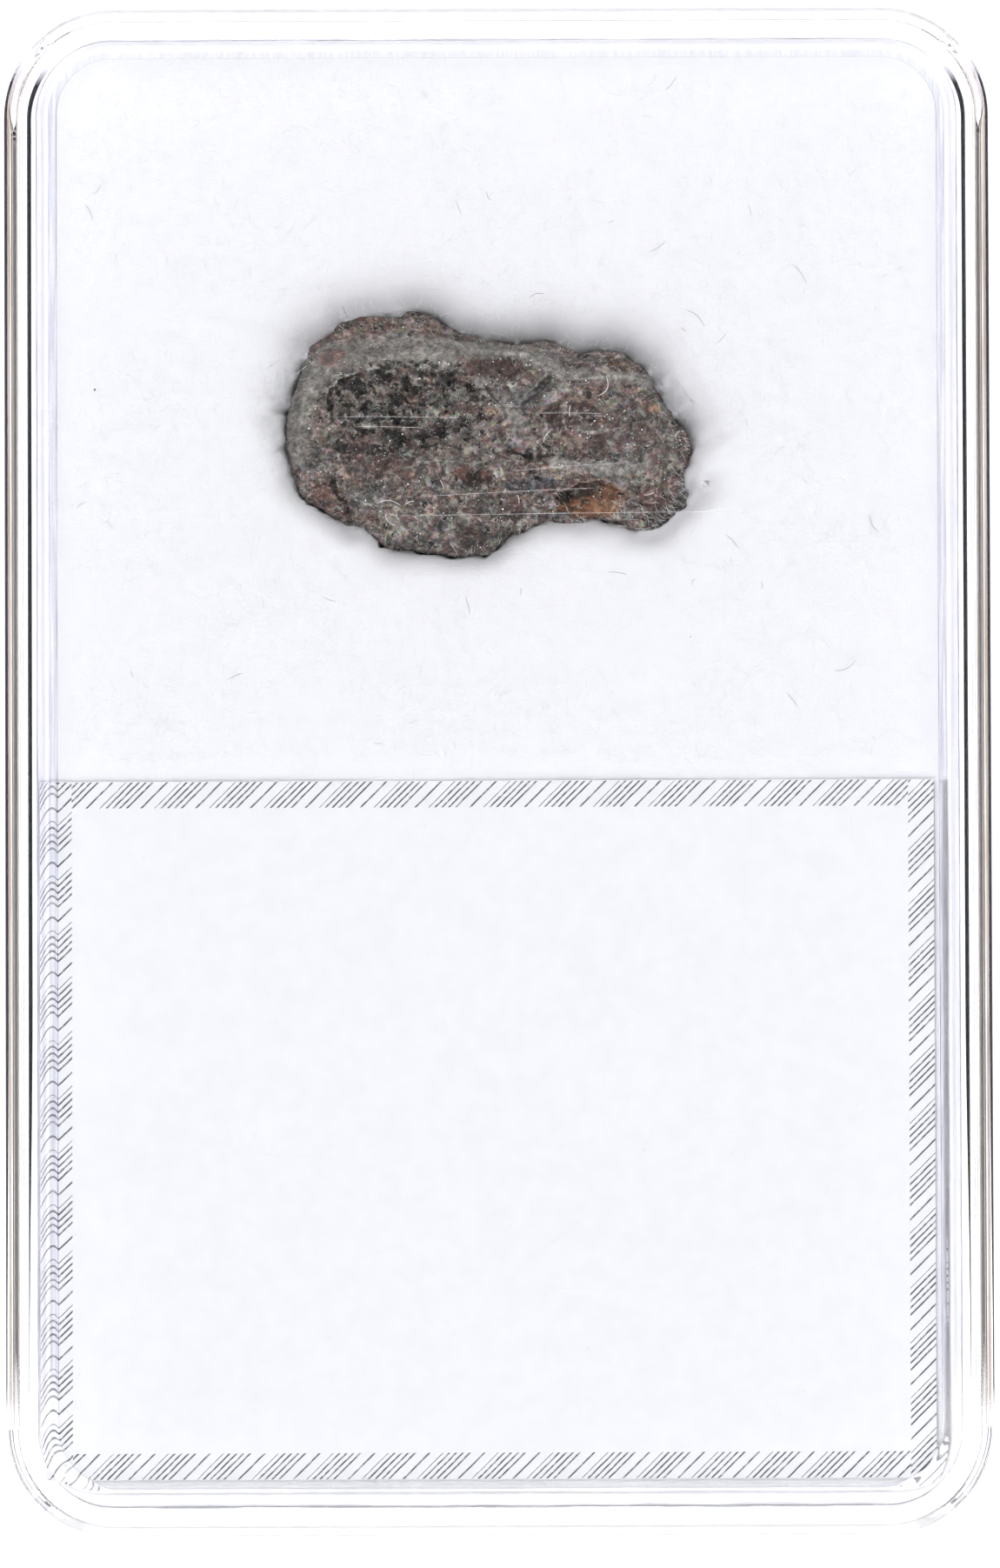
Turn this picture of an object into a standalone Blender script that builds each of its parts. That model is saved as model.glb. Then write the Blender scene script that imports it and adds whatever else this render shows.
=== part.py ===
"""A small lunar meteorite pressed into the soft white bedding of a clear specimen box.

The box stands on its base: +Z is up, +Y runs along the box towards the end with the stone, and the
origin is the middle of the base's underside. Lengths are in metres; MM turns millimetres into metres.
"""
import math

import bmesh
import bpy
from mathutils import Vector, noise

MM = 0.001

# Box, outer size
BOX_WIDTH = 36.0 * MM
BOX_LENGTH = 56.0 * MM
BOX_HEIGHT = 12.0 * MM
BOX_CORNER = 4.0 * MM
CORNER_STEPS = 6

# Box, how the base and the lid fit together
CLEARANCE = 0.3 * MM
LID_WALL = 0.45 * MM
LIP_WALL = 0.4 * MM
BASE_FLOOR = 1.0 * MM
PARTING_HEIGHT = 5.6 * MM
LIP_TOP = 10.2 * MM
LID_UNDERSIDE = 10.9 * MM
RIM_TOP = 11.55 * MM
STEP_OUTER_INSET = 1.14 * MM
STEP_INNER_INSET = 1.94 * MM
EDGE_ROUND = 0.45 * MM
ROUND_STEPS = 4
SMALL_CHAMFER = 0.1 * MM
MOULDED_SHARP_ANGLE = math.radians(35)

# Label card
LABEL_WIDTH = 32.4 * MM
LABEL_LENGTH = 25.5 * MM
LABEL_THICKNESS = 0.25 * MM
LABEL_CENTRE = (-0.33 * MM, -13.07 * MM)

# Bedding
BEDDING_TOP = LID_UNDERSIDE - CLEARANCE
BEDDING_ROUND = 0.6 * MM
LABEL_MARGIN = 2.0 * MM
DENT_STEPS = 40
POCKET_CLEARANCE = 0.5 * MM
POCKET_CELL = 1.0 * MM

# Stone
STONE_CENTRE = (-0.36 * MM, 12.59 * MM)
STONE_TOP = LID_UNDERSIDE - CLEARANCE
STONE_HALF_LENGTH = 7.4 * MM
STONE_HALF_WIDTH = 4.5 * MM
STONE_RISE = 1.9 * MM
STONE_DROP = 2.2 * MM
STONE_CELL = 0.395 * MM
PROFILE_POWER = 3.6
STONE_SHARP_ANGLE = math.radians(50)

# The stone's outline from above, in millimetres around its centre, counter-clockwise
STONE_OUTLINE = [
    (7.45, -0.3), (6.95, 0.45), (6.25, 1.45), (5.55, 2.25), (5.0, 2.75), (4.3, 2.85), (3.4, 2.82), (2.3, 3.2),
    (1.2, 3.3), (0.1, 3.25), (-0.95, 3.45), (-1.85, 4.25), (-2.5, 4.6), (-3.1, 4.3), (-4.3, 4.25),
    (-5.3, 4.1), (-6.1, 3.6), (-6.65, 2.8), (-7.15, 1.4), (-7.35, 0.6), (-7.25, -1.4), (-7.0, -2.2),
    (-6.1, -2.95), (-4.5, -3.6), (-3.5, -4.35), (-2.8, -4.55), (-0.5, -4.6), (0.1, -4.4), (0.75, -3.85),
    (2.1, -3.3), (3.0, -3.4), (4.2, -3.4), (5.1, -3.6), (5.8, -3.85), (6.5, -3.8), (7.05, -3.4),
    (7.35, -2.8), (7.4, -1.0),
]

# Fracture faces that bevel the stone above and below: compass angle, tilt of the face's normal above
# or below the horizon (degrees), distance from the centre (mm)
UPPER_FACETS = [
    (165, 62, 4.60), (110, 66, 3.10), (60, 68, 3.05), (15, 60, 4.90), (-20, 66, 4.10), (-75, 64, 3.25),
    (-125, 64, 3.70),
]
LOWER_FACETS = [
    (180, 50, 5.90), (125, 55, 4.30), (75, 52, 3.60), (20, 45, 5.85), (-40, 54, 4.95), (-95, 52, 3.95),
    (-140, 50, 4.80),
]
FACET_SOFTNESS = 0.14
LEAST_THICKNESS = 0.45
LEAST_SHARE = 0.05

# The widest line round the stone rises and falls a little, and flat spots meet the lid and the bedding
MIDDLE_SWAY = 0.30
MIDDLE_SWAY_TURN = 0.8
OUTWARD_HEIGHT = 5.0
CONTACT_LEVEL = 2.0
FOOT_LEVEL = 2.2
CONTACT_SOFTNESS = 0.05

# The bedding dips round the stone: distance out from its outline, height above the bedding's top (mm)
DENT_PROFILE = [(1.7, 0.45), (0.9, 0.0), (0.4, -0.5), (-0.4, -1.1)]

# The relief below is placed from the photo, whose view leans: it lies this much lower than it reads (mm)
RELIEF_SHIFT = 0.23

# The ledge: a raised seam along the upper edge, with the surface stepping down outside it (mm)
LEDGE = [(-6.5, 1.6), (-5.7, 2.5), (-3.9, 2.9), (-1.8, 3.2), (1.3, 3.0), (2.3, 2.5), (3.0, 2.2), (6.1, 2.05)]
LEDGE_WIDTH = 0.38
LEDGE_HEIGHT = 0.26
LEDGE_STEP = 0.36
LEDGE_STEP_WIDTH = 0.16

# Hollows and pits in the upper face: x, y, half length, half width, turn in degrees, depth (all mm)
HOLLOWS = [
    (3.75, -2.35, 1.20, 0.66, 12, 0.62),
    (2.85, -2.20, 0.40, 0.36, 0, 0.40),
    (-0.65, -1.60, 0.62, 0.45, 20, 0.36),
    (-4.90, 1.45, 0.75, 0.50, 30, 0.50),
    (-3.90, 0.60, 0.60, 0.48, -20, 0.42),
    (-2.60, 1.60, 0.70, 0.42, 10, 0.44),
    (-2.20, 0.10, 0.55, 0.42, 40, 0.40),
    (-4.80, -0.70, 0.95, 0.38, -8, 0.36),
    (-0.90, 2.30, 0.62, 0.42, 0, 0.44),
    (1.00, 2.15, 0.95, 0.50, -8, 0.46),
    (2.60, 1.35, 0.75, 0.30, 35, 0.34),
    (1.60, -0.55, 1.10, 0.34, -6, 0.34),
    (-5.35, -2.30, 0.70, 0.30, -55, 0.30),
    (5.55, -2.75, 0.65, 0.45, 25, 0.30),
    (-2.20, -3.20, 0.80, 0.40, -10, 0.34),
]

# Low lumps in the upper face, as above with the depth as a height
LUMPS = [
    (-2.55, 4.00, 0.80, 0.60, 0, 0.30),
    (4.60, 0.90, 1.30, 0.70, -15, 0.24),
    (-5.75, 2.90, 0.62, 0.52, 0, 0.28),
    (-5.90, 0.20, 0.80, 1.00, 0, 0.22),
    (0.20, -3.10, 1.20, 0.60, 10, 0.28),
    (6.30, -0.90, 0.60, 0.90, 0, 0.24),
]

# A hollow or lump fades out at this many times its own half size
SPOT_SPREAD = 1.6

# The upper face's relief starts on the stone's shoulder, at this share of its rise, and is full higher up
RELIEF_FROM = 0.3
RELIEF_FULL = 0.7

# Uneven surface: height (mm) and fineness (per mm)
COARSE_NOISE = 0.34
COARSE_NOISE_SCALE = 0.42
FINE_NOISE = 0.26
FINE_NOISE_SCALE = 1.1
NOISE_SEED = Vector((3.7, 11.2, 5.1))


def clear_scene():
    """Remove every object so the model starts from nothing."""
    for item in list(bpy.data.objects):
        bpy.data.objects.remove(item, do_unlink=True)


def principled(name, colour, roughness, transmission=0.0):
    """A plain material with the piece's colour and roughness."""
    material = bpy.data.materials.new(name)
    material.use_nodes = True
    shader = material.node_tree.nodes["Principled BSDF"]
    shader.inputs["Base Color"].default_value = (*colour, 1.0)
    shader.inputs["Roughness"].default_value = roughness
    shader.inputs["Metallic"].default_value = 0.0
    shader.inputs["Transmission Weight"].default_value = transmission
    material.diffuse_color = (*colour, 1.0)
    return material


def add_object(name, bm, material):
    """Turn a bmesh into a named object with outward faces."""
    bmesh.ops.recalc_face_normals(bm, faces=bm.faces)
    mesh = bpy.data.meshes.new(name)
    bm.to_mesh(mesh)
    bm.free()
    item = bpy.data.objects.new(name, mesh)
    bpy.context.scene.collection.objects.link(item)
    mesh.materials.append(material)
    return item


def rounded_rectangle(inset, height):
    """One loop of points around the box, moved in from its outer outline by inset."""
    radius = BOX_CORNER - inset
    half_x = BOX_WIDTH / 2 - inset - radius
    half_y = BOX_LENGTH / 2 - inset - radius
    points = []
    for corner, (side_x, side_y) in enumerate(((1, 1), (-1, 1), (-1, -1), (1, -1))):
        for step in range(CORNER_STEPS + 1):
            angle = math.radians(90 * corner + 90 * step / CORNER_STEPS)
            x = side_x * half_x + radius * math.cos(angle)
            y = side_y * half_y + radius * math.sin(angle)
            points.append(Vector((x, y, height)))
    return points


def quarter_round(inset, height, reach, rise):
    """Profile points of a rounded edge that starts at inset, height and turns inwards and up or down."""
    points = []
    for step in range(1, ROUND_STEPS):
        angle = math.pi / 2 * step / ROUND_STEPS
        points.append((inset + reach * (1 - math.cos(angle)), height + rise * math.sin(angle)))
    return points


def smooth_step(inset_a, height_a, inset_b, height_b):
    """Profile points of an S-shaped step between two flat levels."""
    points = []
    for step in range(1, ROUND_STEPS):
        t = step / ROUND_STEPS
        eased = t * t * (3 - 2 * t)
        points.append((inset_a + (inset_b - inset_a) * t, height_a + (height_b - height_a) * eased))
    return points


def solid_from_profile(name, profile, material):
    """Join a stack of rounded rectangles, one for each inset and height, and cap both ends."""
    bm = bmesh.new()
    loops = []
    for inset, height in profile:
        loops.append([bm.verts.new(point) for point in rounded_rectangle(inset, height)])
    count = len(loops[0])
    for lower, upper in zip(loops, loops[1:]):
        for i in range(count):
            j = (i + 1) % count
            bm.faces.new((lower[i], lower[j], upper[j], upper[i]))
    bm.faces.new(list(reversed(loops[0])))
    bm.faces.new(loops[-1])
    item = add_object(name, bm, material)
    item.data.shade_smooth()
    item.data.set_sharp_from_angle(angle=MOULDED_SHARP_ANGLE)
    return item


def make_box_base(material):
    """Tray with a rounded foot edge, a shoulder that the lid stands on and a lip inside the lid."""
    lip_outer = LID_WALL + CLEARANCE
    lip_inner = lip_outer + LIP_WALL
    profile = [(EDGE_ROUND, 0.0)]
    profile += reversed(quarter_round(0.0, EDGE_ROUND, EDGE_ROUND, -EDGE_ROUND))
    profile += [
        (0.0, EDGE_ROUND),
        (0.0, PARTING_HEIGHT - SMALL_CHAMFER),
        (SMALL_CHAMFER, PARTING_HEIGHT),
        (lip_outer, PARTING_HEIGHT),
        (lip_outer, LIP_TOP - SMALL_CHAMFER),
        (lip_outer + SMALL_CHAMFER, LIP_TOP),
        (lip_inner - SMALL_CHAMFER, LIP_TOP),
        (lip_inner, LIP_TOP - SMALL_CHAMFER),
        (lip_inner, BASE_FLOOR + EDGE_ROUND),
    ]
    profile += quarter_round(lip_inner, BASE_FLOOR + EDGE_ROUND, EDGE_ROUND, -EDGE_ROUND)
    profile += [(lip_inner + EDGE_ROUND, BASE_FLOOR)]
    return solid_from_profile("box_base", profile, material)


def make_box_lid(material):
    """Lid with straight walls, a rounded top edge and a panel raised by a curved step."""
    rim = PARTING_HEIGHT + CLEARANCE
    profile = [
        (LID_WALL + EDGE_ROUND, LID_UNDERSIDE),
    ]
    profile += reversed(quarter_round(LID_WALL, LID_UNDERSIDE - EDGE_ROUND, EDGE_ROUND, EDGE_ROUND))
    profile += [
        (LID_WALL, LID_UNDERSIDE - EDGE_ROUND),
        (LID_WALL, rim + SMALL_CHAMFER),
        (LID_WALL - SMALL_CHAMFER, rim),
        (SMALL_CHAMFER, rim),
        (0.0, rim + SMALL_CHAMFER),
        (0.0, RIM_TOP - EDGE_ROUND),
    ]
    profile += quarter_round(0.0, RIM_TOP - EDGE_ROUND, EDGE_ROUND, EDGE_ROUND)
    profile += [(EDGE_ROUND, RIM_TOP), (STEP_OUTER_INSET, RIM_TOP)]
    profile += smooth_step(STEP_OUTER_INSET, RIM_TOP, STEP_INNER_INSET, BOX_HEIGHT)
    profile += [(STEP_INNER_INSET, BOX_HEIGHT)]
    return solid_from_profile("box_lid", profile, material)


def box_mesh(low, high):
    """A closed cuboid between two corners."""
    bm = bmesh.new()
    bmesh.ops.create_cube(bm, size=1.0)
    size = Vector(high) - Vector(low)
    middle = (Vector(high) + Vector(low)) / 2
    for vert in bm.verts:
        vert.co = Vector((vert.co.x * size.x, vert.co.y * size.y, vert.co.z * size.z)) + middle
    return bm


def make_label(material):
    """The paper label, flat under the lid at the box's lower end."""
    x, y = LABEL_CENTRE
    top = LID_UNDERSIDE - CLEARANCE
    low = (x - LABEL_WIDTH / 2, y - LABEL_LENGTH / 2, top - LABEL_THICKNESS)
    high = (x + LABEL_WIDTH / 2, y + LABEL_LENGTH / 2, top)
    return add_object("label_card", box_mesh(low, high), material)


def outline_reach(angle):
    """Distance in millimetres from the stone's centre to its outline at a compass angle."""
    ray = Vector((math.cos(angle), math.sin(angle)))
    count = len(STONE_OUTLINE)
    for i in range(count):
        a = Vector(STONE_OUTLINE[i])
        b = Vector(STONE_OUTLINE[(i + 1) % count])
        edge = b - a
        spread = ray.x * edge.y - ray.y * edge.x
        if abs(spread) < 1e-9:
            continue
        along_ray = (a.x * edge.y - a.y * edge.x) / spread
        along_edge = (a.x * ray.y - a.y * ray.x) / spread
        if along_ray > 0 and -1e-9 <= along_edge <= 1 + 1e-9:
            return along_ray
    raise ValueError("the outline doesn't surround the stone's centre")


def press_down(height, limit, softness):
    """The lower of a height and a limit, with a rounded change from one to the other."""
    past = (height - limit) / softness
    return height - softness * math.log1p(math.exp(min(past, 40.0)))


def facet_limit(x, y, facet):
    """Distance from the stone's middle plane to a fracture face, above or below a point of the plan."""
    compass, tilt, distance = facet
    a, b = math.radians(compass), math.radians(tilt)
    along = x * math.cos(a) + y * math.sin(a)
    return max(LEAST_THICKNESS, (distance - along * math.cos(b)) / math.sin(b))


def bump(x, y, spot):
    """Height of a rounded spot, 1 at its middle and 0 outside it."""
    spot_x, spot_y, half_length, half_width, turn, _ = spot
    angle = math.radians(turn)
    dx, dy = x - spot_x, y - spot_y
    along = (dx * math.cos(angle) + dy * math.sin(angle)) / half_length
    across = (dy * math.cos(angle) - dx * math.sin(angle)) / half_width
    reach = math.hypot(along, across) / SPOT_SPREAD
    return max(0.0, 1 - reach * reach) ** 2


def ledge_height(x, y):
    """Raised seam along the ledge line, and the step down outside it."""
    nearest = None
    for (ax, ay), (bx, by) in zip(LEDGE, LEDGE[1:]):
        edge = Vector((bx - ax, by - ay))
        offset = Vector((x - ax, y - ay))
        t = min(1.0, max(0.0, offset.dot(edge) / edge.length_squared))
        gap = offset - edge * t
        side = edge.x * offset.y - edge.y * offset.x
        if nearest is None or gap.length < nearest[0]:
            nearest = (gap.length, 1.0 if side > 0 else -1.0)
    signed = nearest[0] * nearest[1]
    seam = LEDGE_HEIGHT * math.exp(-(nearest[0] / LEDGE_WIDTH) ** 2)
    outside = 1 / (1 + math.exp(-(signed - LEDGE_WIDTH) / LEDGE_STEP_WIDTH))
    return seam - LEDGE_STEP * outside


def upper_relief(x, y):
    """Ledge, hollows and lumps of the upper face in millimetres."""
    y += RELIEF_SHIFT
    height = ledge_height(x, y)
    for spot in HOLLOWS:
        height -= spot[5] * bump(x, y, spot)
    for spot in LUMPS:
        height += spot[5] * bump(x, y, spot)
    return height


def shape_stone_point(u, v, w, swell):
    """Move a point of a cube's surface (each of u, v, w from -1 to 1) onto the stone, in millimetres."""
    half_length, half_width = STONE_HALF_LENGTH / MM, STONE_HALF_WIDTH / MM
    ring = max(abs(u), abs(v))
    corner = 2 ** (-1 / PROFILE_POWER)
    if abs(w) >= 1 - 1e-6:
        spread = ring * corner
        level = math.copysign((1 - spread**PROFILE_POWER) ** (1 / PROFILE_POWER), w)
    else:
        level = w * corner
        spread = (1 - abs(level) ** PROFILE_POWER) ** (1 / PROFILE_POWER)
    angle = math.atan2(v * half_width, u * half_length)
    reach = spread * outline_reach(angle)
    x, y = reach * math.cos(angle), reach * math.sin(angle)
    upper = level > 0
    height = abs(level) * (STONE_RISE if upper else STONE_DROP) / MM
    for facet in UPPER_FACETS if upper else LOWER_FACETS:
        height = press_down(height, facet_limit(x, y, facet), FACET_SOFTNESS * max(abs(level), LEAST_SHARE))
    z = height if upper else -height
    z += MIDDLE_SWAY * spread**2 * math.sin(2 * angle + MIDDLE_SWAY_TURN)
    point = Vector((x, y, z))
    outward = Vector((x / half_length**2, y / half_width**2, z / OUTWARD_HEIGHT)).normalized()
    point += outward * noise.noise(point * COARSE_NOISE_SCALE + NOISE_SEED) * COARSE_NOISE
    if swell > 0:
        return point + outward * swell
    facing_up = min(1.0, max(0.0, (level - RELIEF_FROM) / (RELIEF_FULL - RELIEF_FROM)))
    point.z += facing_up * upper_relief(point.x, point.y)
    point += outward * noise.noise(point * FINE_NOISE_SCALE + NOISE_SEED) * FINE_NOISE
    point.z = press_down(point.z, CONTACT_LEVEL, CONTACT_SOFTNESS)
    point.z = -press_down(-point.z, FOOT_LEVEL, CONTACT_SOFTNESS)
    return point


def stone_mesh(cell, swell=0.0):
    """The stone as an even grid of faces, or a plainer, swollen copy of it to press the bedding with."""
    counts = [
        max(2, round(2 * STONE_HALF_LENGTH / cell)),
        max(2, round(2 * STONE_HALF_WIDTH / cell)),
        max(2, round((STONE_RISE + STONE_DROP) / cell)),
    ]
    bm = bmesh.new()
    placed = {}

    def corner(i, j, k):
        key = (i, j, k)
        if key not in placed:
            u, v, w = (2 * n / count - 1 for n, count in zip(key, counts))
            placed[key] = bm.verts.new(shape_stone_point(u, v, w, swell / MM) * MM)
        return placed[key]

    for axis in range(3):
        first, second = [other for other in range(3) if other != axis]
        for end in (0, counts[axis]):
            for a in range(counts[first]):
                for b in range(counts[second]):
                    square = []
                    for step_a, step_b in ((0, 0), (1, 0), (1, 1), (0, 1)):
                        key = [0, 0, 0]
                        key[axis] = end
                        key[first] = a + step_a
                        key[second] = b + step_b
                        square.append(corner(*key))
                    bm.faces.new(square)
    bmesh.ops.triangulate(bm, faces=bm.faces)
    return bm


def seat_stone(bm, top):
    """Put the stone's middle over its place in the box and its highest point at top."""
    highest = max(vert.co.z for vert in bm.verts)
    shift = Vector((STONE_CENTRE[0], STONE_CENTRE[1], top - highest))
    for vert in bm.verts:
        vert.co += shift
    return shift


def make_stone(material):
    """The meteorite fragment, one closed piece with a flat spot where the lid touches it."""
    bm = stone_mesh(STONE_CELL)
    shift = seat_stone(bm, STONE_TOP)
    item = add_object("meteorite", bm, material)
    item.data.shade_smooth()
    item.data.set_sharp_from_angle(angle=STONE_SHARP_ANGLE)
    return item, shift


def cut(item, bm, name):
    """Cut a closed shape out of an object, keeping the cutter as a wire guide."""
    cutter = add_object(name, bm, item.data.materials[0])
    cutter.hide_render = True
    cutter.display_type = "WIRE"
    modifier = item.modifiers.new(name, "BOOLEAN")
    modifier.operation = "DIFFERENCE"
    modifier.object = cutter


def dent_mesh():
    """A shallow bowl around the stone's outline, wider at the bedding's surface."""
    bm = bmesh.new()
    loops = []
    for outward, height in DENT_PROFILE:
        loop = []
        for step in range(DENT_STEPS):
            angle = 2 * math.pi * step / DENT_STEPS
            reach = outline_reach(angle) + outward
            x = STONE_CENTRE[0] + reach * math.cos(angle) * MM
            y = STONE_CENTRE[1] + reach * math.sin(angle) * MM
            loop.append(bm.verts.new((x, y, BEDDING_TOP + height * MM)))
        loops.append(loop)
    for upper, lower in zip(loops, loops[1:]):
        for i in range(DENT_STEPS):
            j = (i + 1) % DENT_STEPS
            bm.faces.new((upper[i], upper[j], lower[j], lower[i]))
    bm.faces.new(loops[0])
    bm.faces.new(list(reversed(loops[-1])))
    return bm


def make_bedding(material, stone_shift):
    """The soft filling, with a pocket for the stone and a level pressed down by the label."""
    side = LID_WALL + CLEARANCE + LIP_WALL + CLEARANCE
    bottom = BASE_FLOOR + CLEARANCE
    profile = [(side + EDGE_ROUND, bottom), (side, bottom + EDGE_ROUND), (side, BEDDING_TOP - BEDDING_ROUND)]
    profile += quarter_round(side, BEDDING_TOP - BEDDING_ROUND, BEDDING_ROUND, BEDDING_ROUND)
    profile += [(side + BEDDING_ROUND, BEDDING_TOP)]
    pad = solid_from_profile("foam_pad", profile, material)

    x, y = LABEL_CENTRE
    half_y = LABEL_LENGTH / 2 + CLEARANCE
    level = BEDDING_TOP - LABEL_THICKNESS - CLEARANCE
    low = (x - BOX_WIDTH / 2, y - half_y - LABEL_MARGIN, level)
    high = (x + BOX_WIDTH / 2, y + half_y, BOX_HEIGHT)
    cut(pad, box_mesh(low, high), "label_level")

    cut(pad, dent_mesh(), "stone_dent")
    pocket = stone_mesh(POCKET_CELL, POCKET_CLEARANCE)
    for vert in pocket.verts:
        vert.co += stone_shift
    cut(pad, pocket, "stone_pocket")
    return pad


def build():
    """Make every piece of the boxed specimen."""
    clear_scene()
    clear_plastic = principled("clear_plastic", (0.93, 0.94, 0.96), 0.05, transmission=1.0)
    stone = principled("lunar_breccia", (0.10, 0.09, 0.085), 0.7)
    bedding = principled("white_bedding", (0.92, 0.92, 0.94), 0.95)
    paper = principled("label_paper", (0.86, 0.87, 0.95), 0.85)
    make_box_base(clear_plastic)
    make_box_lid(clear_plastic)
    make_label(paper)
    _, stone_shift = make_stone(stone)
    make_bedding(bedding, stone_shift)


build()
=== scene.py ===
"""A small dark breccia stone in its clear specimen box, bedded in soft white filling under the lid.

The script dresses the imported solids: it makes the finer surface of the stone, the moulded plastic, the
bedding with its fibres, the paper label and the small marks of handling, and then the stage round them.
"""
import math
import random

import bmesh
import bpy
import numpy as np
from bpy.props import FloatProperty, FloatVectorProperty, IntProperty, PointerProperty
from bpy.types import Operator, Panel, PropertyGroup
from mathutils import Matrix, Vector, noise
from mathutils.bvhtree import BVHTree


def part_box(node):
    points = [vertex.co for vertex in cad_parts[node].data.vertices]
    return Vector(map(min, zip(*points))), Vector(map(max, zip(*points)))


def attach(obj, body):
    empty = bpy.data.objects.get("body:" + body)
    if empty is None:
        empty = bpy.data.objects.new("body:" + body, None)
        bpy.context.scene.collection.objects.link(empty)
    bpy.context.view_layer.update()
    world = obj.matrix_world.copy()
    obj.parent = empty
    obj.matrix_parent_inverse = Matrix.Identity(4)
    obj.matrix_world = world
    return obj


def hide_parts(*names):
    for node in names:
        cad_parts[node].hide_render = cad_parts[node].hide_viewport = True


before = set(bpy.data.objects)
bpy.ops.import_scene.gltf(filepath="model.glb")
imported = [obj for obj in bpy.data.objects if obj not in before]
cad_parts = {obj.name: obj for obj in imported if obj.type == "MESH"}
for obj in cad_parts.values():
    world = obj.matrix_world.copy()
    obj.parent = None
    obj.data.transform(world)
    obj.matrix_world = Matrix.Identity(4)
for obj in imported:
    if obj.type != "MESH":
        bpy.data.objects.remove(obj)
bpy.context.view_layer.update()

bl_info = {
    "name": "Boxed stone specimen",
    "version": (1, 0, 0),
    "blender": (4, 5, 0),
    "location": "3D View > Sidebar > Specimen",
    "description": "Dresses a small stone in a clear lift-off box with bedding and a label",
    "category": "Mesh",
}

MM = 0.001
BASE_LOW, BASE_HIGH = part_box("box_base")
LID_LOW, LID_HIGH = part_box("box_lid")
PAD_LOW, PAD_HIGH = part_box("foam_pad")
LABEL_LOW, LABEL_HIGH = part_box("label_card")
STONE_LOW, STONE_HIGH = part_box("meteorite")

# The photograph's frame, and the scale that the box's known width gives it
PHOTO_WIDTH_PX = 1150
PHOTO_HEIGHT_PX = 1803
PHOTO_LID_CENTRE_PX = (573.0, 884.5)
MM_PER_PX = 0.0317

# The middle of the stone's outline in the row's frame (mm), from which its marks are placed
STONE_MIDDLE = (-0.36, 12.36)

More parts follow.
